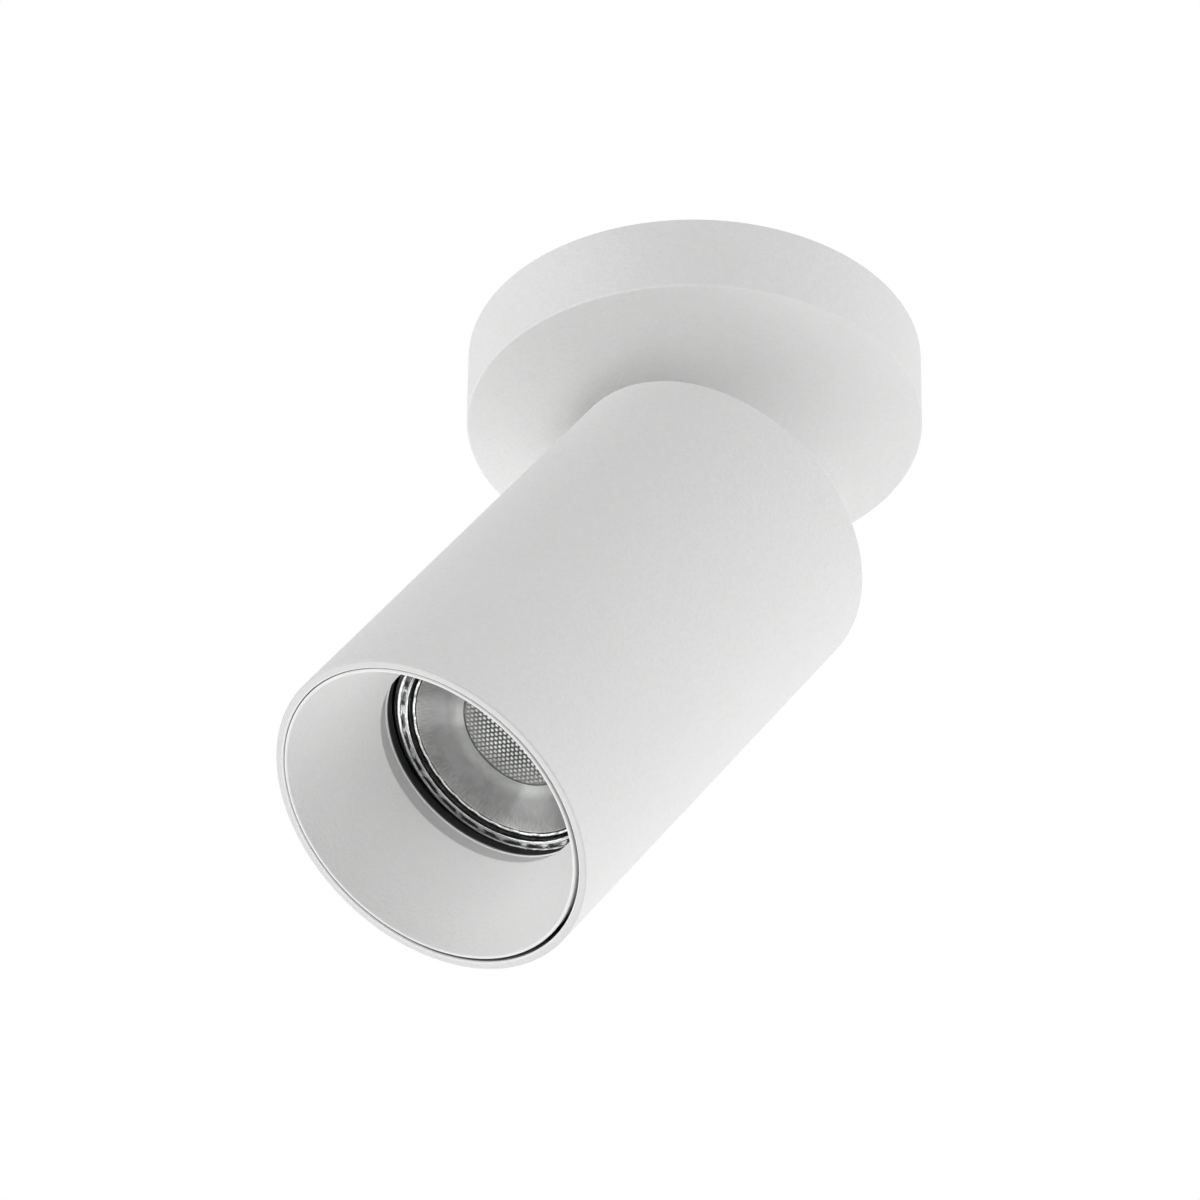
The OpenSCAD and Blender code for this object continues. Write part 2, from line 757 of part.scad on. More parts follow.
// The stem's way through the rear wall, from straight down to the largest tilt
module stem_slot(h) {
    cylinder(r = slot_half_w, h = h);
    translate([slot_reach - slot_half_w, 0, 0]) cylinder(r = slot_half_w, h = h);
    translate([0, -slot_half_w, 0]) cube([slot_reach - slot_half_w, 2 * slot_half_w, h]);
}

module at_body_screws() {
    for (side = [-1, 1]) translate([0, side * body_screw_spacing / 2, 0]) children();
}

module countersink(play) {
    cylinder(r1 = body_screw_d / 2 + play, r2 = body_screw_d * countersink_share + play, h = countersink_h);
}

module hinge_bracket() {
    window_start = -ear_r - window_margin;
    window_end = slot_reach + window_margin;
    window_edge = 3;
    color("silver")
    at_head() {
        difference() {
            union() {
                translate([-hinge_plate_w / 2, -hinge_plate_len / 2, plate_z])
                    cube([hinge_plate_w, hinge_plate_len, hinge_plate_t]);
                translate([0, -ear_out - window_edge, plate_z])
                    cube([window_end + window_edge, 2 * (ear_out + window_edge), hinge_plate_t]);
            }
            translate([window_start, -ear_in, plate_z - cut])
                cube([window_end - window_start, 2 * ear_in, hinge_plate_t + 2 * cut]);
            at_body_screws() translate([0, 0, plate_z - cut])
                cylinder(r = body_screw_d / 2 + screw_gap, h = hinge_plate_t + 2 * cut);
        }
        for (side = [-1, 1]) translate([0, side * (ear_in + ear_out) / 2, 0]) rotate([90, 0, 0]) ear();
    }
}

module ear() {
    difference() {
        linear_extrude(hinge_plate_t, center = true) {
            difference() {
                circle(r = ear_r);
                translate([-2 * ear_r, 0]) square([4 * ear_r, 2 * ear_r]);
            }
            translate([-ear_r, 0]) square([2 * ear_r, plate_z + hinge_plate_t / 2]);
        }
        cylinder(r = hinge_screw_d / 2 + running_gap, h = hinge_plate_t + 2 * cut, center = true);
    }
}

module body_screws() {
    body_screw_len = rear_wall + hinge_plate_t + bridge_t + body_nut_t + screw_end;
    cross_len = body_screw_d * 1.1;
    cross_w = 0.8;
    cross_depth = 1.2;
    color("silver")
    at_head() at_body_screws() difference() {
        union() {
            translate([0, 0, rear_z - body_screw_len])
                cylinder(d = body_screw_d, h = body_screw_len - screw_sink);
            translate([0, 0, rear_z - countersink_h]) countersink(0);
        }
        translate([0, 0, rear_z - cross_depth]) for (turn = [0, 90]) rotate([0, 0, turn])
            translate([-cross_len / 2, -cross_w / 2, 0]) cube([cross_len, cross_w, cross_depth + cut]);
    }
}

module body_nuts() {
    color("silver")
    at_head() at_body_screws() translate([0, 0, foot_z - body_nut_t])
        hex_nut(body_screw_d * nut_share, body_screw_d / 2 + thread_gap, body_nut_t);
}

module holder_bridge() {
    color("silver")
    at_head() difference() {
        union() {
            translate([-bridge_w / 2, -bridge_leg_y, holder_back_z])
                cube([bridge_w, 2 * bridge_leg_y, bridge_t]);
            for (side = [0, 180]) rotate([0, 0, side]) {
                translate([-bridge_w / 2, bridge_leg_y - bridge_t, holder_back_z])
                    cube([bridge_w, bridge_t, plate_z - holder_back_z]);
                translate([-bridge_w / 2, bridge_leg_y - foot_len, foot_z])
                    cube([bridge_w, foot_len, bridge_t]);
            }
        }
        at_body_screws() translate([0, 0, foot_z - cut])
            cylinder(r = body_screw_d / 2 + screw_gap, h = bridge_t + 2 * cut);
        at_holder_screws() translate([0, 0, holder_back_z - cut])
            cylinder(r = holder_screw_d / 2 + screw_gap, h = bridge_t + 2 * cut);
        at_pins() translate([0, 0, holder_back_z - cut])
            cylinder(r = lead_d / 2 + 2 * lead_play, h = bridge_t + 2 * cut);
    }
}

module at_holder_screws() {
    for (side = [-1, 1]) translate([0, side * holder_screw_spacing / 2, 0]) children();
}

module at_pins() {
    for (side = [0, 180]) rotate([0, 0, side]) translate([pin_r, 0, 0]) children();
}

// A ceramic holder with two keyhole tracks: a foot goes in at the round end and turns under the narrow one
module lampholder() {
    front_r = holder_len / 2 - holder_chamfer;
    color("whitesmoke")
    at_head() difference() {
        intersection() {
            translate([0, 0, holder_face_z])
                cylinder(r1 = front_r, r2 = front_r + holder_h, h = holder_h);
            translate([0, 0, holder_face_z]) cylinder(d = holder_len, h = holder_h);
            translate([-holder_w / 2, -holder_len, holder_face_z])
                cube([holder_w, 2 * holder_len, holder_h]);
        }
        for (side = [0, 180]) rotate([0, 0, side]) {
            translate([0, 0, holder_face_z - cut]) track(neck_half, neck_angle, lip_plate_t + 2 * cut);
            translate([0, 0, holder_face_z + lip_plate_t]) track(foot_half, foot_angle, chamber_h);
            rotate([0, 0, -lamp_twist]) translate([pin_r, 0, holder_face_z - cut])
                cylinder(r = foot_half, h = lip_plate_t + 2 * cut);
        }
        at_pins() translate([0, 0, holder_face_z]) cylinder(r = lead_d / 2 + lead_play, h = holder_h + cut);
        at_holder_screws() {
            translate([0, 0, holder_face_z - cut])
                cylinder(r = holder_screw_d / 2 + screw_gap, h = holder_h + 2 * cut);
            translate([0, 0, holder_face_z - cut])
                cylinder(r = holder_screw_d + screw_gap, h = holder_sink + cut);
        }
    }
}

// The arc that a pin sweeps, with room past both its ends
module track(half_w, end_angle, h) {
    rotate([0, 0, -lamp_twist - end_angle]) rotate_extrude(angle = lamp_twist + 2 * end_angle)
        translate([pin_r - half_w, 0]) square([2 * half_w, h]);
}

module holder_contacts() {
    contact_z = holder_face_z + lip_plate_t + chamber_h - contact_t;
    color("goldenrod")
    at_head() for (side = [0, 180]) rotate([0, 0, side]) translate([0, 0, contact_z])
        rotate([0, 0, -lamp_twist]) rotate_extrude(angle = lamp_twist + foot_angle / 2)
            translate([pin_r - contact_w / 2, 0]) square([contact_w, contact_t]);
}

module holder_screws() {
    holder_screw_len = holder_h - holder_sink + bridge_t + holder_nut_t + screw_end;
    color("silver")
    at_head() at_holder_screws() translate([0, 0, holder_face_z + holder_sink]) mirror([0, 0, 1])
        pan_screw(holder_screw_d, holder_screw_len, holder_screw_d * head_share, holder_head_h);
}

module holder_nuts() {
    color("silver")
    at_head() at_holder_screws() translate([0, 0, bridge_z])
        hex_nut(holder_screw_d * nut_share, holder_screw_d / 2 + thread_gap, holder_nut_t);
}

// From each contact through the holder's back, drawn together under the hinge
module holder_leads() {
    start_z = holder_face_z + lip_plate_t + chamber_h;
    lead_out = 0.2;
    lead_stop = 1;
    end_z = -knuckle_r - lead_stop;
    lead_bend = 3;
    gather = gather_share * lead_d;
    color("lightgray")
    at_head() for (side = [0, 180]) rotate([0, 0, side]) lead(lead_route([pin_r, 0, start_z], [
        [pin_r, 0, bridge_z + lead_out],
        [pin_r, 0, bridge_z + lead_bend],
        [gather, 0, end_z - lead_bend],
        [gather, 0, end_z]
    ]), lead_d);
}

module lamp_base() {
    skirt_h = lamp_len - cup_len - base_boss_h;
    boss_z = lamp_end_z - base_boss_h;
    color("whitesmoke")
    at_head() difference() {
        union() {
            intersection() {
                translate([0, 0, boss_z - cut]) cylinder(r = base_boss_r, h = base_boss_h + cut);
                translate([-base_boss_r, -base_boss_w / 2, boss_z - cut])
                    cube([2 * base_boss_r, base_boss_w, base_boss_h + cut]);
            }
            translate([0, 0, boss_z - skirt_h])
                cylinder(r1 = neck_r, r2 = base_boss_r + base_step, h = skirt_h);
        }
        at_pins() translate([0, 0, lamp_end_z - pin_sink]) cylinder(d = pin_neck_d, h = pin_sink + cut);
    }
}

module lamp_pins() {
    color("silver")
    at_head() at_pins() {
        translate([0, 0, lamp_end_z - pin_sink]) cylinder(d = pin_neck_d, h = pin_sink + pin_neck_len);
        translate([0, 0, lamp_end_z + pin_neck_len]) {
            cylinder(d = pin_foot_d, h = pin_foot_len - foot_corner);
            translate([0, 0, pin_foot_len - foot_corner])
                cylinder(r1 = pin_foot_d / 2, r2 = pin_foot_d / 2 - foot_corner, h = foot_corner);
        }
    }
}

// A pressed glass cup: a straight rim, then a parabola down to the base
module lamp_cup() {
    lens_back = lens_edge_depth + lens_t;
    outer = [for (i = [0:cup_steps])
        let (t = i / cup_steps)
        [cup_r(t, lamp_r, neck_r), rim_h + t * (cup_len - rim_h)]
    ];
    inner_len = cup_len - cup_floor_t - lens_back;
    inner = [for (i = [cup_steps:-1:0])
        let (t = i / cup_steps)
        [cup_r(t, rim_in_r - lens_ledge, neck_r - 2 * glass_t), lens_back + t * inner_len]
    ];
    color("lightgray")
    at_head() translate([0, 0, lamp_face_z]) rotate_extrude() polygon(concat(
        [[rim_in_r, rim_corner], [rim_in_r + rim_corner, 0]],
        [[lamp_r - rim_corner, 0], [lamp_r, rim_corner]],
        outer,
        [[0, cup_len], [0, cup_len - cup_floor_t]],
        inner,
        [[rim_in_r, lens_back]]
    ));
}

module lamp_lens() {
    lens_mid_r = lens_mid_d / 2;
    color("lightgray")
    at_head() translate([0, 0, lamp_face_z]) rotate_extrude() polygon([
        [rim_in_r - lens_play, lens_edge_depth],
        [rim_in_r - lens_flange, lens_edge_depth + lens_dish],
        [lens_mid_r, lens_mid_depth],
        [0, lens_mid_depth],
        [0, lens_mid_depth + lens_t],
        [lens_mid_r + lens_ledge, lens_mid_depth + lens_t],
        [rim_in_r - lens_flange, lens_edge_depth + lens_t],
        [rim_in_r - lens_play, lens_edge_depth + lens_t]
    ]);
}

module lamp_led_board() {
    color("khaki")
    at_head() translate([0, 0, lamp_face_z + cup_len - cup_floor_t - board_t]) {
        cylinder(r = neck_r - 2 * glass_t - board_gap, h = board_t);
        translate([0, 0, -chip_h]) cylinder(r = chip_r, h = chip_h + merge);
    }
}

module baffle_insert() {
    window_w = spring_w + 2 * spring_play;
    window_len = spring_len + 2 * spring_play;
    color("whitesmoke")
    at_insert() difference() {
        union() {
            rotate_extrude() insert_profile();
            for (i = [0:rib_count - 1]) rotate([90, 0, (i + 0.5) * 360 / rib_count])
                linear_extrude(rib_t, center = true) polygon([
                    [skirt_in_r + merge, cone_meets_skirt - merge],
                    [skirt_in_r + merge, skirt_len - rib_end],
                    [cone_outer_r(skirt_len - rib_end) - merge, skirt_len - rib_end]
                ]);
        }
        at_springs() translate([skirt_in_r - cut, -window_w / 2, spring_z - window_len / 2])
            cube([skirt_t + 2 * cut, window_w, window_len]);
    }
}

module insert_profile() {
    translate([insert_cone_r + lip_w / 2, lip_w / 2]) circle(r = lip_w / 2);
    polygon([
        [insert_cone_r, lip_w / 2],
        [insert_r, lip_w / 2],
        [insert_r, skirt_len],
        [skirt_in_r, skirt_len],
        [skirt_in_r, cone_meets_skirt],
        [throat_out_r, cone_meets_throat],
        [throat_out_r, throat_depth],
        [throat_rear_r, throat_depth],
        [throat_r, cone_depth]
    ]);
}

module at_springs() {
    for (i = [0:spring_count - 1]) rotate([0, 0, i * 360 / spring_count]) children();
}

// Bowed leaves in the skirt's windows, their crowns level with its outside
module insert_springs() {
    bow_r = (pow(spring_len / 2, 2) + spring_bow * spring_bow) / 2 / spring_bow;
    color("silver")
    at_insert() at_springs() translate([insert_r - bow_r, 0, spring_z]) rotate([90, 0, 0])
        translate([0, 0, -spring_w / 2]) intersection() {
            ring(bow_r, bow_r - spring_t, spring_w);
            translate([0, -spring_len / 2, -cut]) cube([bow_r + cut, spring_len, spring_w + 2 * cut]);
        }
}

// A black ring gripped on the throat, between the baffle and the lamp
module lamp_ring() {
    color("black")
    at_insert() difference() {
        translate([0, 0, throat_depth - ring_collar_h])
            cylinder(r = throat_out_r + ring_grip, h = ring_collar_h + lamp_ring_t);
        translate([0, 0, throat_depth - ring_collar_h - cut])
            cylinder(r = throat_out_r + thread_gap, h = ring_collar_h + cut);
        translate([0, 0, throat_depth - cut]) cylinder(r = throat_rear_r, h = lamp_ring_t + 2 * cut);
    }
}

canopy();
ceiling_bracket();
side_screws();
terminal_block();
terminal_sleeves();
terminal_screws();
block_screw();
earth_screw();
earth_washer();
supply_leads();
stop_peg();
swivel_washer_inner();
swivel_washer_outer();
swivel_stem();
stop_disc();
stem_nut();
lock_nut();
stem_lead_sleeve();
hinge_screws();
friction_washers();
spring_washers();
head_casing();
hinge_bracket();
body_screws();
body_nuts();
holder_bridge();
lampholder();
holder_contacts();
holder_screws();
holder_nuts();
holder_leads();
lamp_base();
lamp_pins();
lamp_cup();
lamp_lens();
lamp_led_board();
baffle_insert();
insert_springs();
lamp_ring();
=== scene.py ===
import json
from math import atan2, cos, pi, radians, sin, sqrt, tan
import bmesh
import bpy
from mathutils import Matrix, Vector

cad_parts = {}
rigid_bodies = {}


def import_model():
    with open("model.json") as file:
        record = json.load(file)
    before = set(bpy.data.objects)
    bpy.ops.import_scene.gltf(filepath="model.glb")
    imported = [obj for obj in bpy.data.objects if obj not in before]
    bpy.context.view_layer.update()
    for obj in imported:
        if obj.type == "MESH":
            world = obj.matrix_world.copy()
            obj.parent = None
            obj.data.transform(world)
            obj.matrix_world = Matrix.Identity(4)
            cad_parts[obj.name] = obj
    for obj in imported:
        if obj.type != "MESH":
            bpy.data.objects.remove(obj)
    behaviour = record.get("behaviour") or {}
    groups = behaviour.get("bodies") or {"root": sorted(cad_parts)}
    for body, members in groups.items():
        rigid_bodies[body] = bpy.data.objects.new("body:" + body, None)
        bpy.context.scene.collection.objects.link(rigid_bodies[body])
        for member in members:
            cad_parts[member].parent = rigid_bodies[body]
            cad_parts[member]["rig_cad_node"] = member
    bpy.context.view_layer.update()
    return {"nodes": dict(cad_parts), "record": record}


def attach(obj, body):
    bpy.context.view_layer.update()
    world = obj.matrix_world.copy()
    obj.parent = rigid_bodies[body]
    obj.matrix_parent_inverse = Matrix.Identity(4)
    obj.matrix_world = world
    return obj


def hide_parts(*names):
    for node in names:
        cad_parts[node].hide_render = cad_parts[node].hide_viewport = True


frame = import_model()
bpy.ops.object.select_all(action="DESELECT")
print("frame loaded")

# Camera, at the photograph's angle

cameraView = {
    "place": (-0.018953, -1.132241, -0.881699),
    "turn": (125.924, -0.6595, -0.4778),  # degrees
    "lens": 206.95,  # mm
    "sensor": 36,  # mm
    "clip": (0.05, 40),
}


def addCamera(values):
    bpy.ops.object.camera_add(location=values["place"], rotation=[radians(turn) for turn in values["turn"]])
    camera = bpy.context.object
    camera.name = "photoCamera"
    camera.data.sensor_width = values["sensor"]
    camera.data.lens = values["lens"]
    camera.data.clip_start, camera.data.clip_end = values["clip"]
    bpy.context.scene.camera = camera


addCamera(cameraView)
print("camera placed")

# Modelling helpers


def activate(piece):
    bpy.ops.object.select_all(action="DESELECT")
    bpy.context.view_layer.objects.active = piece
    piece.select_set(True)


def openEdit(piece, kind="FACE"):
    activate(piece)
    bpy.ops.object.mode_set(mode="EDIT")
    bpy.ops.mesh.select_mode(type=kind)
    bpy.ops.mesh.select_all(action="DESELECT")


def closeEdit():
    bpy.ops.object.mode_set(mode="OBJECT")


# Selects the points of the piece in edit mode whose place passes the test
def pickPoints(test):
    mesh = bmesh.from_edit_mesh(bpy.context.edit_object.data)
    for point in mesh.verts:
        point.select_set(test(point.co))
    bmesh.update_edit_mesh(bpy.context.edit_object.data)


def applyModifier(piece, kind, **values):
    modifier = piece.modifiers.new(kind.lower(), kind)
    for name, value in values.items():
        setattr(modifier, name, value)
    activate(piece)
    bpy.ops.object.modifier_apply(modifier=modifier.name)


# Cuts one piece out of another, or joins it on, and removes it
def combine(piece, tool, operation="DIFFERENCE"):
    applyModifier(piece, "BOOLEAN", operation=operation, solver="EXACT", object=tool)
    bpy.data.objects.remove(tool)


def roundEdges(piece, width, angle=40):
    applyModifier(
        piece, "BEVEL", width=width, segments=2, limit_method="ANGLE", angle_limit=radians(angle),
        miter_outer="MITER_ARC", use_clamp_overlap=True,
    )


def smoothShade(piece, angle=35):
    activate(piece)
    bpy.ops.object.shade_smooth_by_angle(angle=radians(angle))


# Corners of (radius, height, rounding) in millimetres become the points of an outline in metres, with a guard point
# beside each rounding that keeps the shading of the long faces flat
def roundOutline(corners, steps=5, guard=0):
    outline = []
    for index, (radius, height, rounding) in enumerate(corners):
        corner = Vector((radius, height))
        if rounding == 0:
            outline.append(corner)
            continue
        before = (Vector(corners[index - 1][:2]) - corner).normalized()
        after = (Vector(corners[(index + 1) % len(corners)][:2]) - corner).normalized()
        half = before.angle(after) / 2
        centre = corner + (before + after).normalized() * rounding / sin(half)
        start = corner + before * rounding / tan(half) - centre
        end = corner + after * rounding / tan(half) - centre
        sweep = start.angle(end)
        if guard:
            outline.append(centre + start + before * guard)
        for step in range(steps + 1):
            share = step / steps
            outline.append(centre + (start * sin((1 - share) * sweep) + end * sin(share * sweep)) / sin(sweep))
        if guard:
            outline.append(centre + end + after * guard)
    return [(point.x / 1000, point.y / 1000) for point in outline]


# Extrudes an outline from a single point, and turns it about Z into a closed piece
def turnOutline(name, outline, steps=192):
    bpy.ops.mesh.primitive_plane_add(size=0.001)
    piece = bpy.context.object
    piece.name = name
    bpy.ops.object.mode_set(mode="EDIT")
    bpy.ops.mesh.select_mode(type="VERT")
    bpy.ops.mesh.select_all(action="SELECT")
    bpy.ops.mesh.merge(type="CENTER")
    bpy.ops.transform.translate(value=(outline[0][0], 0, outline[0][1]))
    for here, there in zip(outline, outline[1:]):
        move = (there[0] - here[0], 0, there[1] - here[1])
        bpy.ops.mesh.extrude_region_move(TRANSFORM_OT_translate={"value": move})
    if outline[0][0] > 0 or outline[-1][0] > 0:
        ends = [Vector((r, 0, z)) for r, z in (outline[0], outline[-1])]
        pickPoints(lambda place: min((place - end).length for end in ends) < 1e-7)
        bpy.ops.mesh.edge_face_add()
    bpy.ops.mesh.select_all(action="SELECT")
    bpy.ops.mesh.spin(steps=steps, angle=2 * pi, center=(0, 0, 0), axis=(0, 0, 1))
    bpy.ops.mesh.select_all(action="SELECT")
    bpy.ops.mesh.remove_doubles(threshold=1e-6)
    bpy.ops.mesh.normals_make_consistent(inside=False)
    closeEdit()
    return piece


# How the tilted head stands in the frame, and how deep its mouth lies on its own axis: metres and degrees
headValues = {"pivot": -0.0483, "turn": 207.9, "tilt": -34.3, "mouth": -0.1032}
headPlace = (
    Matrix.Translation((0, 0, headValues["pivot"]))
    @ Matrix.Rotation(radians(headValues["turn"]), 4, "Z")
    @ Matrix.Rotation(radians(headValues["tilt"]), 4, "Y")
)
mouthDepth = headValues["mouth"]


# Puts a piece that was made upright, mouth down, where the head holds it
def placeOnHead(piece, shift=(0, 0, 0)):
    piece.matrix_world = headPlace @ Matrix.Translation(shift)
    activate(piece)
    bpy.ops.object.transform_apply(location=True, rotation=True, scale=True)


# Long enough to cut through any wall
cutLength = 0.006


def barTool(radius, place, turn=(0, 0, 0), sides=64, length=cutLength):
    bpy.ops.mesh.primitive_cylinder_add(vertices=sides, radius=radius, depth=length, location=place, rotation=turn)
    return bpy.context.object


def boxTool(size, place, turn=(0, 0, 0)):
    bpy.ops.mesh.primitive_cube_add(size=1, location=place, rotation=turn, scale=size)
    return bpy.context.object


print("helpers ready")

# Canopy

canopyValues = {
    "radius": 47, "height": 17.1, "wall": 1.5, "face": 1.6, "bore": 5.06, "screwDrop": 8.5, "screwHole": 1.75,
    "edge": 0.35, "smallEdge": 0.2, "innerEdge": 0.5,
}


def makeCanopy(values):
    inner = values["radius"] - values["wall"]
    floor = values["face"] - values["height"]
    piece = turnOutline("canopyShell", roundOutline([
        (values["radius"], 0, values["smallEdge"]),
        (inner, 0, values["smallEdge"]),
        (inner, floor, values["innerEdge"]),
        (values["bore"], floor, values["smallEdge"]),
        (values["bore"], -values["height"], values["smallEdge"]),
        (values["radius"], -values["height"], values["edge"]),
    ], guard=0.1), 256)
    for side in (-1, 1):
        place = (side * (values["radius"] - values["wall"] / 2) / 1000, 0, -values["screwDrop"] / 1000)
        combine(piece, barTool(values["screwHole"] / 1000, place, (0, pi / 2, 0)))
    smoothShade(piece)
    return piece


canopyShell = makeCanopy(canopyValues)
print("canopy made")

# Head casing

casingValues = {
    "radius": 35.2, "length": 110.7, "rear": 7.5, "mouthWall": 1.7, "wall": 2.5, "rearWall": 2, "seat": 15.05,
    "slotHalf": 5.4, "slotReach": 15.0, "screwSpacing": 38, "screwHole": 2.25, "sinkRadius": 3.85, "sinkDepth": 2,
    "edge": 0.5, "mouthEdge": 0.3, "seatEdge": 0.1, "innerEdge": 0.5,
}


def makeCasing(values):
    front = values["rear"] - values["length"]
    mouth = values["radius"] - values["mouthWall"]
    inner = values["radius"] - values["wall"]
    piece = turnOutline("casingShell", roundOutline([
        (values["radius"], front, values["edge"]),
        (values["radius"], values["rear"], values["edge"]),
        (0, values["rear"], 0),
        (0, values["rear"] - values["rearWall"], 0),
        (inner, values["rear"] - values["rearWall"], values["innerEdge"]),
        (inner, front + values["seat"], values["seatEdge"]),
        (mouth, front + values["seat"], values["seatEdge"]),
        (mouth, front, values["mouthEdge"]),
    ], guard=0.08), 256)
    middle = (values["rear"] - values["rearWall"] / 2) / 1000
    reach = (values["slotReach"] - values["slotHalf"]) / 1000
    half = values["slotHalf"] / 1000
    slot = barTool(half, (0, 0, middle), sides=96)
    combine(slot, barTool(half, (reach, 0, middle), sides=96), "UNION")
    combine(slot, boxTool((reach, 2 * half, cutLength), (reach / 2, 0, middle)), "UNION")
    combine(piece, slot)
    for side in (-1, 1):
        across = side * values["screwSpacing"] / 2000
        combine(piece, barTool(values["screwHole"] / 1000, (0, across, middle)))
        bpy.ops.mesh.primitive_cone_add(
            vertices=64, radius1=values["screwHole"] / 1000, radius2=values["sinkRadius"] / 1000,
            depth=values["sinkDepth"] / 1000 + 1e-5,
            location=(0, across, (values["rear"] - values["sinkDepth"] / 2) / 1000),
        )
        combine(piece, bpy.context.object)
    placeOnHead(piece)
    smoothShade(piece)
    return piece


casingShell = makeCasing(casingValues)
print("head casing made")

# Baffle insert

insertValues = {
    "radius": 33, "lip": 0.7, "coneDepth": 20, "outer": 25.7, "meet": 17.64, "shift": 0.3,
    "throat": 23.2, "throatRear": 24.4, "throatDepth": 24.1, "throatEdge": 0.5,
    "bead": 0.24, "beadWidth": 0.24, "beadSlope": 0.04,
    "skirtWall": 0.9, "skirtLength": 15, "skirtMeet": 3.58, "skirtEdge": 0.15,
    "ribs": 9, "ribWidth": 1, "ribEnd": 1, "ribSink": 0.2, "ribGap": 0.1,
    "springs": 3, "windowWidth": 8, "windowLength": 9, "windowMiddle": 10, "windowCut": 1.9,
}


def makeInsert(values):
    coneRadius = values["radius"] - values["lip"]
    nose = values["lip"] / 2
    skirt = values["radius"] - values["skirtWall"]
    noseArc = [
        (coneRadius + nose - nose * cos(radians(turn)), nose - nose * sin(radians(turn)), 0)
        for turn in range(180, -1, -12)
    ]
    beadRadius = values["throatRear"] - values["bead"]
    beadDepth = values["throatDepth"] - values["beadWidth"]
    piece = turnOutline("baffleShell", roundOutline(noseArc + [
        (values["throat"], values["coneDepth"], values["throatEdge"]),
        (values["throatRear"], beadDepth - values["beadSlope"], 0.04),
        (beadRadius, beadDepth, 0.05),
        (beadRadius, values["throatDepth"], 0.08),
        (values["outer"], values["throatDepth"], 0.1),
        (values["outer"], values["meet"], 0),
        (skirt, values["skirtMeet"], 0),
        (skirt, values["skirtLength"], values["skirtEdge"]),
        (values["radius"], values["skirtLength"], values["skirtEdge"]),
    ], guard=0.05), 256)
    for index in range(values["ribs"]):
        combine(piece, makeRib(values, (index + 0.5) * 2 * pi / values["ribs"]), "UNION")
    for index in range(values["springs"]):
        turn = index * 2 * pi / values["springs"]
        middle = (values["radius"] - values["skirtWall"] / 2) / 1000
        size = [values[key] / 1000 for key in ("windowCut", "windowWidth", "windowLength")]
        place = (middle * cos(turn), middle * sin(turn), values["windowMiddle"] / 1000)
        combine(piece, boxTool(size, place, (0, 0, turn)))
    placeOnHead(piece, (values["shift"] / 1000, 0, mouthDepth))
    smoothShade(piece, 30)
    return piece


# A rib fills the wedge between the cone's outside and the skirt
def makeRib(values, turn):
    skirt = (values["radius"] - values["skirtWall"] + values["ribSink"]) / 1000
    end = (values["skirtLength"] - values["ribEnd"]) / 1000
    start = values["skirtMeet"] / 1000
    gap = values["ribGap"] / 1000
    slope = (values["outer"] / 1000 - skirt) / (values["meet"] / 1000 - start)
    inner = skirt + slope * (end - start) - gap
    size = (skirt - inner, values["ribWidth"] / 1000, end - start)
    rib = boxTool(size, ((skirt + inner) / 2, 0, (end + start) / 2))
    bpy.ops.object.transform_apply(location=True, rotation=True, scale=True)
    openEdit(rib, "VERT")
    pickPoints(lambda place: place.x < (skirt + inner) / 2 and place.z < (start + end) / 2)
    bpy.ops.transform.translate(value=(skirt - inner - gap, 0, 0))
    closeEdit()
    rib.rotation_euler = (0, 0, turn)
    activate(rib)
    bpy.ops.object.transform_apply(location=True, rotation=True, scale=True)
    return rib


baffleShell = makeInsert(insertValues)
print("baffle insert made")

# Black ring between the baffle and the lamp

ringValues = {
    "throat": 24.4, "outer": 27, "grip": 25.75, "collar": 3.7, "depth": 2.2, "start": 20.4,
    "groove": 0.4, "grooveStart": 0.05, "grooveEnd": 0.55, "bevel": 0.1,
}


def makeRing(values):
    start = values["start"]
    step = start + values["collar"]
    rear = step + values["depth"]
    groove = values["throat"] + values["groove"]
    piece = turnOutline("blackRing", roundOutline([
        (values["grip"], start, 0.1),
        (values["outer"], start, 0.2),
        (values["outer"], rear, 0.3),
        (values["throat"] + values["bevel"], rear, 0.05),
        (values["throat"], rear - values["bevel"], 0.05),
        (values["throat"], step + values["grooveEnd"], 0.08),
        (groove, step + values["grooveStart"], 0.05),
        (groove, step, 0.02),
        (values["grip"], step, 0.05),
    ], 3), 192)
    placeOnHead(piece, (insertValues["shift"] / 1000, 0, mouthDepth))
    smoothShade(piece, 40)
    return piece


blackRing = makeRing(ringValues)
print("black ring made")

# Lamp: glass cup and lens

lampValues = {
    "face": 26.5, "aside": -0.6, "radius": 25, "rimIn": 21.75, "rimHeight": 3.5, "neck": 13, "cupLength": 33,
    "glass": 1.6, "floor": 2, "lensBack": 3.2, "ledge": 0.6, "rimStep": 1.4, "steps": 16,
    "pips": 28, "pipsFrom": 22.6, "pipsTo": 23.3, "pipHeight": 0.15,
    "rim": [
        # radius, depth, rounding, from the rim's inner wall outwards
        (21.92, 0.8, 0), (21.92, 0.28, 0.05), (22.48, 0.02, 0.06), (22.56, 0.5, 0.03), (22.62, 0.46, 0.03),
        (23.42, 0.08, 0.08), (23.48, 0.36, 0.03), (23.56, 0.32, 0.03), (24.18, 0.02, 0.08), (24.28, 0.3, 0.03),
    ],
}


def cupRadius(share, rim, neck):
    return sqrt(neck * neck + (rim * rim - neck * neck) * (1 - share))


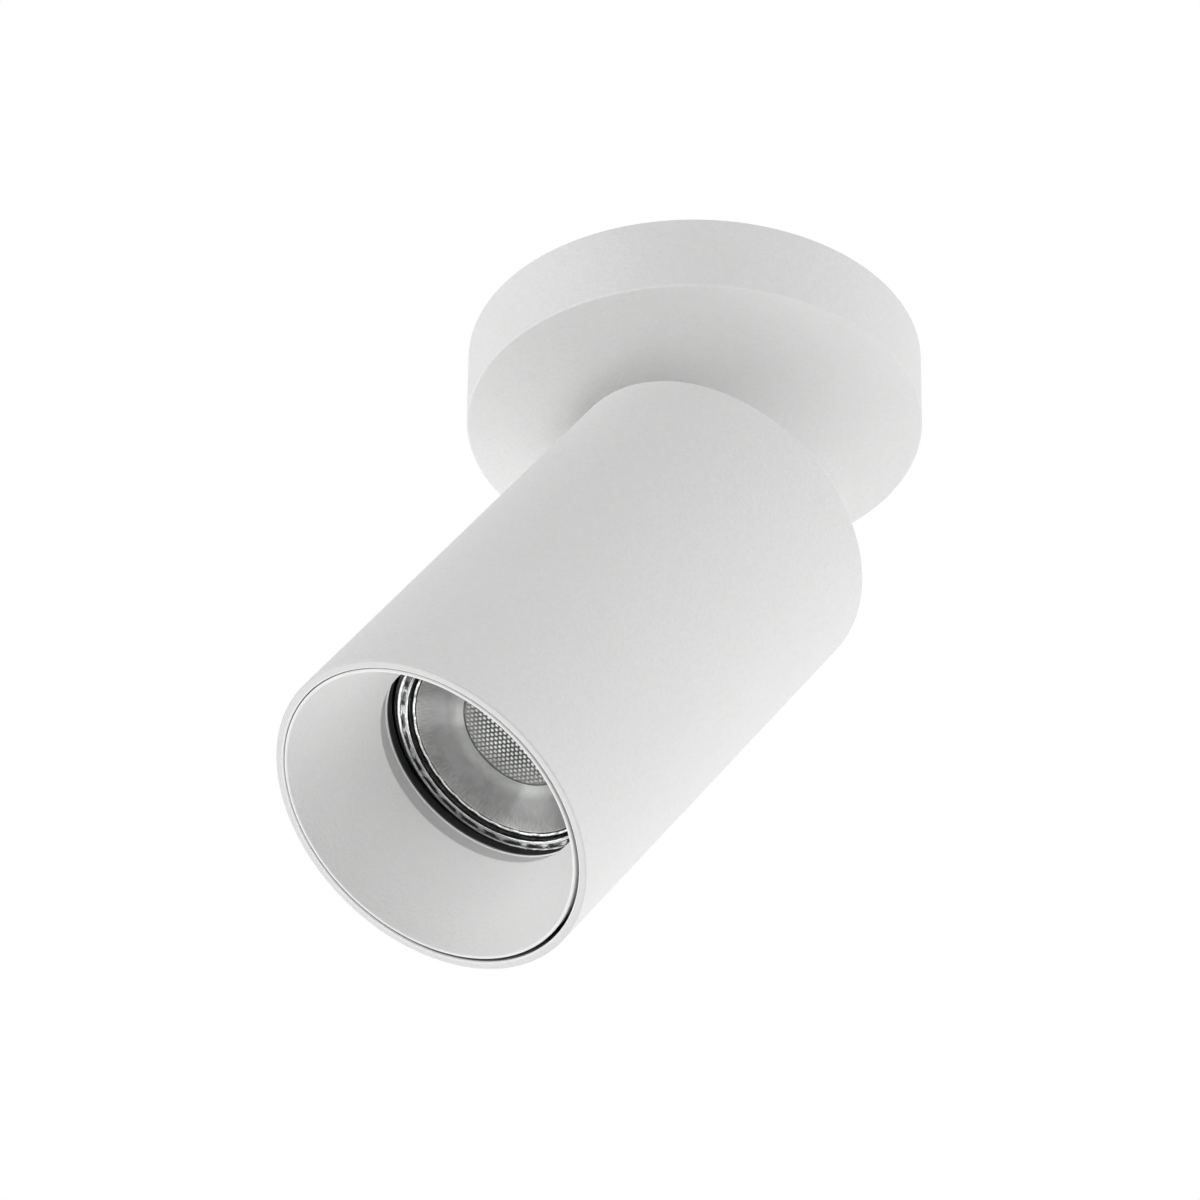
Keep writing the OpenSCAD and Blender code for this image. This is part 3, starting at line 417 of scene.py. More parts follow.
def makeCup(values):
    steps = values["steps"]
    length = values["cupLength"]
    rim = values["rimHeight"]
    back = values["lensBack"]
    innerRim = values["rimIn"] - values["ledge"]
    innerNeck = values["neck"] - 2 * values["glass"]
    innerLength = length - values["floor"] - back
    outer = [
        (cupRadius(step / steps, values["radius"], values["neck"]), rim + step / steps * (length - rim), 0)
        for step in range(steps + 1)
    ]
    inner = [
        (cupRadius(step / steps, innerRim, innerNeck), back + step / steps * innerLength, 0)
        for step in range(steps, -1, -1)
    ]
    front = [(values["rimIn"], back, 0), (values["rimIn"], values["rimStep"], 0)]
    front += values["rim"] + [(values["radius"], 0.1, 0.2)]
    piece = turnOutline("glassCup", roundOutline(
        front + outer + [(0, length, 0), (0, length - values["floor"], 0)] + inner, 4,
    ), 8 * values["pips"])
    # Pips in the rim's groove
    openEdit(piece, "VERT")
    pickPoints(
        lambda place: isTooth(place, values["pipsFrom"], values["pipsTo"], values["pips"]) and place.z < 0.001
    )
    bpy.ops.transform.translate(value=(0, 0, -values["pipHeight"] / 1000))
    closeEdit()
    placeOnHead(piece, (values["aside"] / 1000, 0, mouthDepth + values["face"] / 1000))
    smoothShade(piece, 50)
    return piece


lensValues = {
    "middle": 12.1, "middleDepth": 5.95, "middleStep": 0.35, "dimpleSeat": 0.12, "back": 1.6, "coneTop": 1.6,
    "coneBend": 0.88, "coneRadii": (20.7, 20.3, 19.5, 18.6, 17.6, 16.4, 15.1, 13.8, 12.5),
    "edge": [
        # radius, depth, rounding, inwards
        (21.6, 3.15, 0.1), (21.6, 1.6, 0.05), (21.42, 1.4, 0.06), (20.98, 1.62, 0.04), (20.9, 1.8, 0.03),
        (20.78, 1.8, 0.03),
    ],
    "teeth": 126, "toothHeight": 0.05, "teethFrom": (20.1, 19.3, 18.4), "teethTo": 20.5,
    "dashes": 28, "dashDepth": 0.15, "dashesFrom": 20.9, "dashesTo": 21.45,
    "dimpleRows": 29, "dimplePitch": 1.1, "dimpleRadius": 0.72, "dimpleRise": 0.27, "dimpleSink": 0.14,
}


def makeLens(values):
    radii = values["coneRadii"]
    drop = values["middleDepth"] - values["coneTop"]
    cone = [
        (radius, values["coneTop"] + drop * ((radii[0] - radius) / (radii[0] - radii[-1])) ** values["coneBend"], 0)
        for radius in radii
    ]
    step = values["middleDepth"] + values["middleStep"]
    seat = values["middleDepth"] + values["dimpleSeat"]
    back = values["middleDepth"] + values["back"]
    piece = turnOutline("lampLens", roundOutline(values["edge"] + cone + [
        (12.4, step, 0), (values["middle"] + 0.05, step, 0), (values["middle"], seat, 0), (0, seat, 0),
        (0, back, 0), (13.3, back, 0.2), (20.1, 3.15, 0.1),
    ], 3), 2 * values["teeth"])
    # Fine teeth that fade inwards from the cone's outer end, and dashes on the ridge outside it
    openEdit(piece, "VERT")
    for low in values["teethFrom"]:
        pickPoints(lambda place: isTooth(place, low, values["teethTo"], values["teeth"]) and place.z < 0.0045)
        bpy.ops.transform.translate(value=(0, 0, -values["toothHeight"] / len(values["teethFrom"]) / 1000))
    pickPoints(
        lambda place: isTooth(place, values["dashesFrom"], values["dashesTo"], values["dashes"]) and place.z < 0.0018
    )
    bpy.ops.transform.translate(value=(0, 0, values["dashDepth"] / 1000))
    closeEdit()
    combineDimples(piece, values)
    placeOnHead(piece, (lampValues["aside"] / 1000, 0, mouthDepth + lampValues["face"] / 1000))
    smoothShade(piece, 15)
    return piece


# True for every other point round the axis, between two radii in millimetres
def isTooth(place, low, high, count):
    radius = sqrt(place.x ** 2 + place.y ** 2) * 1000
    turn = atan2(place.y, place.x) / (2 * pi) * count
    return low < radius < high and abs(turn - round(turn)) < 0.2


# One shallow dome, laid out in rows by two arrays, kept where it lies on the lens's middle
def combineDimples(lens, values):
    pitch = values["dimplePitch"] / 1000
    dome = values["dimpleRadius"] / 1000
    rise = values["dimpleRise"] / 1000
    bpy.ops.mesh.primitive_uv_sphere_add(segments=12, ring_count=16, radius=dome, location=(0, 0, 0))
    dimples = bpy.context.object
    dimples.name = "lensDimples"
    openEdit(dimples, "VERT")
    bpy.ops.mesh.select_all(action="SELECT")
    bpy.ops.mesh.bisect(plane_co=(0, 0, rise - dome), plane_no=(0, 0, 1), clear_outer=True, use_fill=True)
    bpy.ops.mesh.select_all(action="SELECT")
    bpy.ops.transform.translate(value=(0, 0, dome - rise))
    closeEdit()
    count = values["dimpleRows"]
    for offset in ((pitch, 0, 0), (-pitch / 2, pitch * sqrt(3) / 2, 0)):
        applyModifier(
            dimples, "ARRAY", count=count, use_relative_offset=False, use_constant_offset=True,
            constant_offset_displace=offset,
        )
    aside = -(count - 1) * pitch / 4
    back = -(count - 1) * pitch * sqrt(3) / 4
    sink = (values["middleDepth"] + values["dimpleSink"]) / 1000
    openEdit(dimples)
    bpy.ops.mesh.select_all(action="SELECT")
    bpy.ops.transform.translate(value=(aside, back, sink))
    closeEdit()
    combine(dimples, barTool(values["middle"] / 1000 - 0.0001, (0, 0, sink), sides=120, length=0.004), "INTERSECT")
    activate(lens)
    dimples.select_set(True)
    bpy.ops.object.join()


glassCup = makeCup(lampValues)
lampLens = makeLens(lensValues)
print("lamp made")

# Smaller parts: rounded copies of the CAD nodes, as {node: (piece, rounding in millimetres)}

smallParts = {
    "swivel_stem": ("swivelStem", 0.25),
    "swivel_washer_outer": ("outerWasher", 0.1),
    "swivel_washer_inner": ("innerWasher", 0.1),
    "stem_nut": ("stemNut", 0.15),
    "lock_nut": ("lockNut", 0.15),
    "stop_disc": ("stopDisc", 0.12),
    "stop_peg": ("stopPeg", 0.15),
    "ceiling_bracket": ("ceilingBracket", 0.2),
    "side_screws": ("sideScrews", 0.1),
    "terminal_block": ("terminalBlock", 0.2),
    "terminal_screws": ("terminalScrews", 0.06),
    "terminal_sleeves": ("terminalSleeves", 0.08),
    "block_screw": ("blockScrew", 0.12),
    "earth_screw": ("earthScrew", 0.15),
    "earth_washer": ("earthWasher", 0.1),
    "hinge_bracket": ("hingeBracket", 0.15),
    "hinge_screws": ("hingeScrews", 0.12),
    "friction_washers": ("frictionWashers", 0.08),
    "spring_washers": ("springWashers", 0.08),
    "body_screws": ("bodyScrews", 0.1),
    "body_nuts": ("bodyNuts", 0.12),
    "holder_bridge": ("holderBridge", 0.15),
    "lampholder": ("lampholderBody", 0.3),
    "holder_screws": ("holderScrews", 0.1),
    "holder_nuts": ("holderNuts", 0.1),
    "lamp_base": ("lampBase", 0.3),
    "lamp_pins": ("lampPins", 0.15),
    "insert_springs": ("insertSprings", 0.05),
}


def roundedCopy(node, name, rounding):
    source = frame["nodes"][node]
    activate(source)
    bpy.ops.object.duplicate()
    piece = bpy.context.object
    piece.name = name
    piece.parent = None
    del piece["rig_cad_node"]
    openEdit(piece, "VERT")
    bpy.ops.mesh.select_all(action="SELECT")
    bpy.ops.mesh.remove_doubles(threshold=2e-6)
    bpy.ops.mesh.dissolve_limited(angle_limit=radians(0.5))
    closeEdit()
    roundEdges(piece, rounding / 1000)
    smoothShade(piece)
    return piece


pieces = {}
for node, (name, rounding) in smallParts.items():
    pieces[node] = roundedCopy(node, name, rounding)
pieces["canopy"] = canopyShell
pieces["head_casing"] = casingShell
pieces["baffle_insert"] = baffleShell
pieces["lamp_ring"] = blackRing
pieces["lamp_cup"] = glassCup
pieces["lamp_lens"] = lampLens
print("small parts rounded")

# Shared effects, as shader node groups


def newGroup(name, inputs, outputs):
    group = bpy.data.node_groups.new(name, "ShaderNodeTree")
    for label, kind, value in inputs:
        socket = group.interface.new_socket(name=label, in_out="INPUT", socket_type=kind)
        if value is not None:
            socket.default_value = value
    for label, kind in outputs:
        group.interface.new_socket(name=label, in_out="OUTPUT", socket_type=kind)
    return group, group.nodes.new("NodeGroupInput"), group.nodes.new("NodeGroupOutput")


def mathNode(tree, operation, first, second=None, third=None):
    node = tree.nodes.new("ShaderNodeMath")
    node.operation = operation
    for index, value in enumerate((first, second, third)):
        if value is None:
            continue
        if isinstance(value, (int, float)):
            node.inputs[index].default_value = value
        else:
            tree.links.new(value, node.inputs[index])
    return node.outputs[0]


def noiseNode(tree, position, scale, detail=2, roughness=0.5, distortion=0):
    node = tree.nodes.new("ShaderNodeTexNoise")
    tree.links.new(position, node.inputs["Vector"])
    if isinstance(scale, (int, float)):
        node.inputs["Scale"].default_value = scale
    else:
        tree.links.new(scale, node.inputs["Scale"])
    node.inputs["Detail"].default_value = detail
    node.inputs["Roughness"].default_value = roughness
    node.inputs["Distortion"].default_value = distortion
    return node.outputs["Fac"]


def rangeNode(tree, value, low, high, toLow, toHigh):
    node = tree.nodes.new("ShaderNodeMapRange")
    tree.links.new(value, node.inputs["Value"])
    for label, amount in (("From Min", low), ("From Max", high), ("To Min", toLow), ("To Max", toHigh)):
        if isinstance(amount, (int, float)):
            node.inputs[label].default_value = amount
        else:
            tree.links.new(amount, node.inputs[label])
    return node.outputs["Result"]


# Grey values at given places along a value: [(place, grey), ...]
def profileNode(tree, value, stops):
    first, last = stops[0][0], stops[-1][0]
    node = tree.nodes.new("ShaderNodeValToRGB")
    tree.links.new(rangeNode(tree, value, first, last, 0, 1), node.inputs["Fac"])
    ramp = node.color_ramp
    while len(ramp.elements) < len(stops):
        ramp.elements.new(0.5)
    for element, (place, grey) in zip(ramp.elements, stops):
        element.position = (place - first) / (last - first)
        element.color = (grey, grey, grey, 1)
    return node.outputs["Color"]


# The fine sand of powder coat or an eroded mould: Height for the bump, Shade and Gloss to multiply by
def makeFineGrain():
    group, given, result = newGroup(
        "fineGrain",
        [
            ("Position", "NodeSocketVector", None), ("Grain Size", "NodeSocketFloat", 0.0004),
            ("Patch Size", "NodeSocketFloat", 0.02), ("Tint Depth", "NodeSocketFloat", 0.03),
            ("Gloss Depth", "NodeSocketFloat", 0.1),
        ],
        [("Height", "NodeSocketFloat"), ("Shade", "NodeSocketFloat"), ("Gloss", "NodeSocketFloat")],
    )
    position = given.outputs["Position"]
    fine = noiseNode(group, position, mathNode(group, "DIVIDE", 1, given.outputs["Grain Size"]), 3, 0.6)
    pebbles = group.nodes.new("ShaderNodeTexVoronoi")
    pebbles.feature = "SMOOTH_F1"
    group.links.new(position, pebbles.inputs["Vector"])
    group.links.new(mathNode(group, "DIVIDE", 0.4, given.outputs["Grain Size"]), pebbles.inputs["Scale"])
    patches = noiseNode(group, position, mathNode(group, "DIVIDE", 1, given.outputs["Patch Size"]), 3, 0.55)
    height = mathNode(group, "MULTIPLY_ADD", pebbles.outputs["Distance"], -0.6, fine)
    group.links.new(height, result.inputs["Height"])
    low = mathNode(group, "SUBTRACT", 1, given.outputs["Tint Depth"])
    mixed = mathNode(group, "MULTIPLY_ADD", patches, 0.4, mathNode(group, "MULTIPLY", fine, 0.6))
    group.links.new(rangeNode(group, mixed, 0.35, 0.65, low, 1), result.inputs["Shade"])
    glossLow = mathNode(group, "SUBTRACT", 1, given.outputs["Gloss Depth"])
    glossHigh = mathNode(group, "ADD", 1, given.outputs["Gloss Depth"])
    group.links.new(rangeNode(group, patches, 0.3, 0.7, glossLow, glossHigh), result.inputs["Gloss"])
    return group


# Long fine lines along one axis, as on drawn or rolled metal
def makeDrawnLines():
    group, given, result = newGroup(
        "drawnLines",
        [
            ("Position", "NodeSocketVector", None), ("Line Width", "NodeSocketFloat", 0.0002),
            ("Line Length", "NodeSocketFloat", 0.01),
        ],
        [("Height", "NodeSocketFloat"), ("Shade", "NodeSocketFloat")],
    )
    across = mathNode(group, "DIVIDE", 1, given.outputs["Line Width"])
    along = mathNode(group, "DIVIDE", 1, given.outputs["Line Length"])
    scale = group.nodes.new("ShaderNodeCombineXYZ")
    group.links.new(along, scale.inputs["X"])
    group.links.new(across, scale.inputs["Y"])
    group.links.new(across, scale.inputs["Z"])
    stretched = group.nodes.new("ShaderNodeVectorMath")
    stretched.operation = "MULTIPLY"
    group.links.new(given.outputs["Position"], stretched.inputs[0])
    group.links.new(scale.outputs[0], stretched.inputs[1])
    lines = noiseNode(group, stretched.outputs[0], 1, 3, 0.6)
    group.links.new(lines, result.inputs["Height"])
    group.links.new(rangeNode(group, lines, 0.3, 0.7, 0.85, 1.05), result.inputs["Shade"])
    return group


# Turn round the lamp's axis, from 0 to 1, and distance from it and depth along it in millimetres
def makeRoundAxis():
    group, given, result = newGroup(
        "roundAxis", [("Position", "NodeSocketVector", None)],
        [("Turn", "NodeSocketFloat"), ("Radius", "NodeSocketFloat"), ("Depth", "NodeSocketFloat")],
    )
    split = group.nodes.new("ShaderNodeSeparateXYZ")
    group.links.new(given.outputs["Position"], split.inputs[0])
    angle = mathNode(group, "ARCTAN2", split.outputs["Y"], split.outputs["X"])
    group.links.new(mathNode(group, "MULTIPLY_ADD", angle, 1 / (2 * pi), 0.5), result.inputs["Turn"])
    square = mathNode(group, "MULTIPLY", split.outputs["X"], split.outputs["X"])
    total = mathNode(group, "MULTIPLY_ADD", split.outputs["Y"], split.outputs["Y"], square)
    group.links.new(mathNode(group, "MULTIPLY", mathNode(group, "SQRT", total), 1000), result.inputs["Radius"])
    group.links.new(mathNode(group, "MULTIPLY", split.outputs["Z"], 1000), result.inputs["Depth"])
    return group


# Cells in staggered rows, from 0 between them to 1 in their middles
def makeHexCells():
    group, given, result = newGroup(
        "hexCells", [("Position", "NodeSocketVector", None), ("Pitch", "NodeSocketFloat", 0.001)],
        [("Cell", "NodeSocketFloat")],
    )
    split = group.nodes.new("ShaderNodeSeparateXYZ")
    group.links.new(given.outputs["Position"], split.inputs[0])
    pitch = given.outputs["Pitch"]
    across = mathNode(group, "MULTIPLY", mathNode(group, "DIVIDE", split.outputs["X"], pitch), 2 * pi)
    along = mathNode(group, "MULTIPLY", mathNode(group, "DIVIDE", split.outputs["Y"], pitch), 2 * pi / sqrt(3))
    first = mathNode(group, "COSINE", mathNode(group, "ADD", across, along))
    second = mathNode(group, "COSINE", mathNode(group, "SUBTRACT", across, along))
    third = mathNode(group, "COSINE", mathNode(group, "MULTIPLY", along, 2))
    total = mathNode(group, "ADD", mathNode(group, "ADD", first, second), third)
    group.links.new(mathNode(group, "MULTIPLY_ADD", total, 1 / 4.5, 1.5 / 4.5), result.inputs["Cell"])
    return group


groups = {
    "fineGrain": makeFineGrain(),
    "drawnLines": makeDrawnLines(),
    "roundAxis": makeRoundAxis(),
    "hexCells": makeHexCells(),
}
print("shader groups made")

# Materials


class Finish:
    def __init__(self, name, colour, roughness, metallic=0.0):
        self.material = bpy.data.materials.new(name)
        self.material.use_nodes = True
        self.tree = self.material.node_tree
        self.shader = self.tree.nodes["Principled BSDF"]
        self.colour = (*colour, 1)
        self.shader.inputs["Base Color"].default_value = self.colour
        self.shader.inputs["Roughness"].default_value = roughness
        self.shader.inputs["Metallic"].default_value = metallic
        self.roughness = roughness
        self.material.diffuse_color = self.colour
        self.position = self.tree.nodes.new("ShaderNodeTexCoord").outputs["Object"]

    def place(self, group, **values):
        node = self.tree.nodes.new("ShaderNodeGroup")
        node.node_tree = groups[group]
        self.tree.links.new(self.position, node.inputs["Position"])
        for label, value in values.items():
            node.inputs[label].default_value = value
        return node

    # Lays the position along the head's axis, from a place given in millimetres: across the axis, behind the mouth
    def turnToHead(self, aside=0, behind=0):
        mapping = self.tree.nodes.new("ShaderNodeMapping")
        mapping.vector_type = "TEXTURE"
        start = headPlace @ Matrix.Translation((aside / 1000, 0, mouthDepth + behind / 1000))
        mapping.inputs["Location"].default_value = start.translation
        mapping.inputs["Rotation"].default_value = start.to_euler()
        self.tree.links.new(self.position, mapping.inputs["Vector"])
        self.position = mapping.outputs["Vector"]

    # Multiplies the base colour, or what another socket gives for it, by a grey value
    def shade(self, value, colour=None):
        node = self.tree.nodes.new("ShaderNodeVectorMath")
        node.operation = "SCALE"
        if colour is None:
            node.inputs[0].default_value = self.colour[:3]
        else:
            self.tree.links.new(colour, node.inputs[0])
        self.tree.links.new(value, node.inputs["Scale"])
        self.tree.links.new(node.outputs[0], self.shader.inputs["Base Color"])

    def gloss(self, value):
        self.tree.links.new(mathNode(self.tree, "MULTIPLY", value, self.roughness), self.shader.inputs["Roughness"])

    def bump(self, height, depth):
        node = self.tree.nodes.new("ShaderNodeBump")
        node.inputs["Strength"].default_value = 1
        node.inputs["Distance"].default_value = depth
        self.tree.links.new(height, node.inputs["Height"])
        self.tree.links.new(node.outputs["Normal"], self.shader.inputs["Normal"])


# Finishes with the fine grain: colour, roughness, metallic, grain and patch sizes in millimetres, how far shade and
# gloss vary, bump depth in micrometres
grainedFinishes = {
    "whitePowder": ((0.825, 0.825, 0.822), 0.58, 0, 0.95, 22, 0.045, 0.12, 150),
    "insertMoulding": ((0.815, 0.815, 0.812), 0.5, 0, 0.6, 18, 0.045, 0.12, 60),
    "ringPlastic": ((0.022, 0.022, 0.023), 0.42, 0, 0.25, 8, 0.25, 0.15, 10),
    "zincPlate": ((0.66, 0.67, 0.69), 0.32, 1, 0.6, 5, 0.22, 0.3, 4),
    "nylonMoulding": ((0.86, 0.84, 0.77), 0.42, 0, 0.35, 6, 0.06, 0.2, 6),
    "steatite": ((0.86, 0.85, 0.80), 0.62, 0, 0.22, 4, 0.10, 0.15, 14),
    "siliconeSleeve": ((0.84, 0.84, 0.82), 0.55, 0, 0.2, 3, 0.08, 0.1, 6),
}
grainedFinishes["casingPaint"] = grainedFinishes["whitePowder"]


def makeGrained(name, colour, roughness, metallic, grain, patch, tint, gloss, depth):
    finish = Finish(name, colour, roughness, metallic)
    node = finish.place("fineGrain", **{
        "Grain Size": grain / 1000, "Patch Size": patch / 1000, "Tint Depth": tint, "Gloss Depth": gloss,
    })
    finish.shade(node.outputs["Shade"])
    finish.gloss(node.outputs["Gloss"])
    finish.bump(node.outputs["Height"], depth * 1e-6)
    return finish


# Metals with drawn lines: colour, roughness, line width and length in millimetres, bump depth in micrometres
drawnFinishes = {
    "springSteel": ((0.56, 0.57, 0.59), 0.22, 0.12, 6, 3),
    "turnedBrass": ((0.78, 0.60, 0.30), 0.26, 0.1, 4, 3),
    "nickelPlate": ((0.70, 0.68, 0.64), 0.2, 0.1, 4, 2),
}


def makeDrawn(name, colour, roughness, width, length, depth):
    finish = Finish(name, colour, roughness, 1.0)
    node = finish.place("drawnLines", **{"Line Width": width / 1000, "Line Length": length / 1000})
    finish.shade(node.outputs["Shade"])
    finish.bump(node.outputs["Height"], depth * 1e-6)
    return finish


finishes = {name: makeGrained(name, *values) for name, values in grainedFinishes.items()}
finishes.update({name: makeDrawn(name, *values) for name, values in drawnFinishes.items()})

casingFinish = {
    "boreRadius": 33.8, "boreShadeDepth": 0.7, "fadeDepth": 0.3, "rearDepth": 109.5, "boreShadow": 0.2,
    "lipDepth": 0.3, "lipPaintedShade": 0.83,
}


# Painted shade: a shade darker on the lip, where its rounded edge would be in shade, and much darker in the bore
# behind the mouth's edge, where the gap round the baffle lies in shadow
def shadeCasing(finish, values):
    tree = finish.tree
    painted = finish.shader.inputs["Base Color"].links[0].from_socket
    finish.turnToHead()
    axis = finish.place("roundAxis")
    depth = axis.outputs["Depth"]
    inside = mathNode(tree, "LESS_THAN", axis.outputs["Radius"], values["boreRadius"])
    # Painted shadow in the bore, fading in just behind the mouth's edge
    behind = rangeNode(tree, depth, values["boreShadeDepth"] - values["fadeDepth"], values["boreShadeDepth"], 0, 1)
    before = mathNode(tree, "LESS_THAN", depth, values["rearDepth"])
    boreShade = mathNode(tree, "MULTIPLY", mathNode(tree, "MULTIPLY", inside, behind), before)
    # Painted shade on the lip
    front = mathNode(tree, "LESS_THAN", depth, values["lipDepth"])
    lip = mathNode(tree, "MULTIPLY", mathNode(tree, "SUBTRACT", 1, inside), front)
    rest = mathNode(tree, "MULTIPLY_ADD", lip, values["lipPaintedShade"] - 1, 1)
    finish.shade(mathNode(tree, "MULTIPLY_ADD", boreShade, values["boreShadow"] - 1, rest), painted)


insertFinish = {"coneEnd": 19.9, "fadeDepth": 0.3, "throatPaintedLight": 1.12}


# Painted light: a little paler in the throat, lifting the shade that falls there
def shadeInsert(finish, values):
    moulded = finish.shader.inputs["Base Color"].links[0].from_socket
    finish.turnToHead()
    depth = finish.place("roundAxis").outputs["Depth"]
    end = values["coneEnd"]
    finish.shade(rangeNode(finish.tree, depth, end, end + values["fadeDepth"], 1, values["throatPaintedLight"]), moulded)


ringFinish = {
    "lineDepth": -1.95, "lineWidth": 0.07, "lineShade": 13,
    "patches": 60, "patchFrom": 0.42, "patchTo": 0.62, "least": 0.15,
}


# Painted highlight: a thin pale line round the ring, broken in patches, where its front edge would catch the light
def shadeRing(finish, values):
    tree = finish.tree
    finish.turnToHead(lampValues["aside"], lampValues["face"])
    axis = finish.place("roundAxis")
    away = mathNode(tree, "ABSOLUTE", mathNode(tree, "SUBTRACT", axis.outputs["Depth"], values["lineDepth"]))
    # The painted highlight along the ring's front edge
    line = rangeNode(tree, away, values["lineWidth"] / 2, values["lineWidth"], values["lineShade"], 0)
    patches = noiseNode(tree, finish.position, values["patches"], 2)
    glintPatches = rangeNode(tree, patches, values["patchFrom"], values["patchTo"], values["least"], 1)
    finish.shade(mathNode(tree, "MULTIPLY_ADD", line, glintPatches, 1))


shadeCasing(finishes["casingPaint"], casingFinish)
shadeInsert(finishes["insertMoulding"], insertFinish)
shadeRing(finishes["ringPlastic"], ringFinish)
for name in ("whitePowder", "casingPaint", "insertMoulding"):
    finishes[name].shader.inputs["Specular IOR Level"].default_value = 0.2

glassValues = {
    "colour": (0.80, 0.81, 0.81), "roughness": 0.12, "metallic": 0.9, "coat": 1.0, "coatRoughness": 0.03, "depth": 30,
    "rippleWidth": 0.5, "rippleLength": 1.6, "rippleRadius": 23, "wander": 0.35,
    "wallRadius": 21.95, "wallDark": 0.8, "wallFade": 0.12, "darkest": 0.97,
    "chainFrom": 22.6, "chainTo": 23.46, "links": 28, "linkFrom": 0.1, "linkTo": 0.15,
    "lightAndShadeRings": [
        # radius, grey of the painted highlights and shade
        (21.5, 0.22), (21.9, 0.2), (21.96, 0.4), (22.06, 0.85), (22.14, 0.35), (22.34, 0.42), (22.46, 0.7),
        (22.54, 0.05), (22.62, 0.06), (22.7, 0.42), (23.1, 0.3), (23.38, 0.6), (23.46, 0.05), (23.54, 0.06),
        (23.66, 0.35), (23.86, 0.9), (24.04, 0.45), (24.2, 0.05), (25.5, 0.5),
    ],
}


# Pressed glass, silvered behind, with light and shade painted into its colour: painted bands of highlight and shade
# round the rim, painted broken highlights along it, and a chain of painted dark links in its groove
def makeCupGlass(values):
    finish = Finish("silveredGlass", values["colour"], values["roughness"], values["metallic"])
    finish.turnToHead(lampValues["aside"], lampValues["face"])
    tree = finish.tree
    axis = finish.place("roundAxis")
    radius = axis.outputs["Radius"]
    turn = axis.outputs["Turn"]
    waves = 2 * pi * values["rippleRadius"] / values["rippleLength"]
    wave = tree.nodes.new("ShaderNodeCombineXYZ")
    tree.links.new(mathNode(tree, "MULTIPLY", turn, waves), wave.inputs["X"])
    tree.links.new(mathNode(tree, "DIVIDE", radius, values["rippleWidth"]), wave.inputs["Y"])
    ripple = noiseNode(tree, wave.outputs[0], 1, 3, 0.6, 0.6)
    # Painted broken highlights along the rim
    paintedStreaks = rangeNode(tree, ripple, 0.35, 0.65, 0.62, 1.15)
    shift = values["wander"] / 2
    wander = mathNode(tree, "MULTIPLY_ADD", ripple, values["wander"], radius)
    lightAndShadeRings = profileNode(tree, mathNode(tree, "SUBTRACT", wander, shift), values["lightAndShadeRings"])
    link = mathNode(tree, "PINGPONG", mathNode(tree, "MULTIPLY_ADD", turn, values["links"], ripple), 0.5)
    dark = rangeNode(tree, link, values["linkFrom"], values["linkTo"], 0, values["darkest"])
    middle = (values["chainFrom"] + values["chainTo"]) / 2
    reach = values["chainTo"] - middle
    away = mathNode(tree, "ABSOLUTE", mathNode(tree, "SUBTRACT", wander, middle + shift))
    chain = mathNode(tree, "MULTIPLY", dark, rangeNode(tree, away, reach - 0.16, reach - 0.04, 1, 0))
    # Painted shade: the front of the rim's inner wall, which looks into the dark, is darkened
    depth = axis.outputs["Depth"]
    shadow = rangeNode(tree, depth, values["wallDark"], values["wallDark"] + values["wallFade"], values["darkest"], 0)
    wall = mathNode(tree, "MULTIPLY", mathNode(tree, "LESS_THAN", radius, values["wallRadius"]), shadow)
    light = mathNode(tree, "SUBTRACT", 1, mathNode(tree, "MAXIMUM", chain, wall))
    finish.shade(mathNode(tree, "MULTIPLY", mathNode(tree, "MULTIPLY", paintedStreaks, light), lightAndShadeRings))
    finish.bump(ripple, values["depth"] * 1e-6)
    finish.shader.inputs["Coat Weight"].default_value = values["coat"]
    finish.shader.inputs["Coat Roughness"].default_value = values["coatRoughness"]
    return finish


finishes["silveredGlass"] = makeCupGlass(glassValues)

lensFinish = {
    "colour": (0.28, 0.285, 0.278), "roughness": 0.3, "metallic": 0.28, "coat": 0.6, "coatRoughness": 0.12,
    "depth": 14, "smudges": 160, "lines": 460, "linesFrom": 16.5, "linesTo": 20.5, "lineLeast": 0.06, "lineMost": 0.6,
    "middle": 12.25, "dimpleHighlights": 1.6, "dotsFrom": 5.5, "dotsTo": 0.4, "edgeRadius": 20.95, "edgeMetallic": 0.6,
    "lightAndShadeRings": [
        # radius, grey of the painted light and shade
        (12.0, 0.5), (12.2, 0.45), (12.45, 1.35), (13.6, 1.4), (15.2, 0.88), (18.5, 0.8), (20.4, 0.9),
        (20.72, 1.25), (20.8, 0.08), (20.9, 0.06), (20.99, 0.6), (21.1, 2.4), (21.3, 2.1), (21.42, 0.6),
        (21.5, 0.3), (22.0, 0.3),
    ],
}
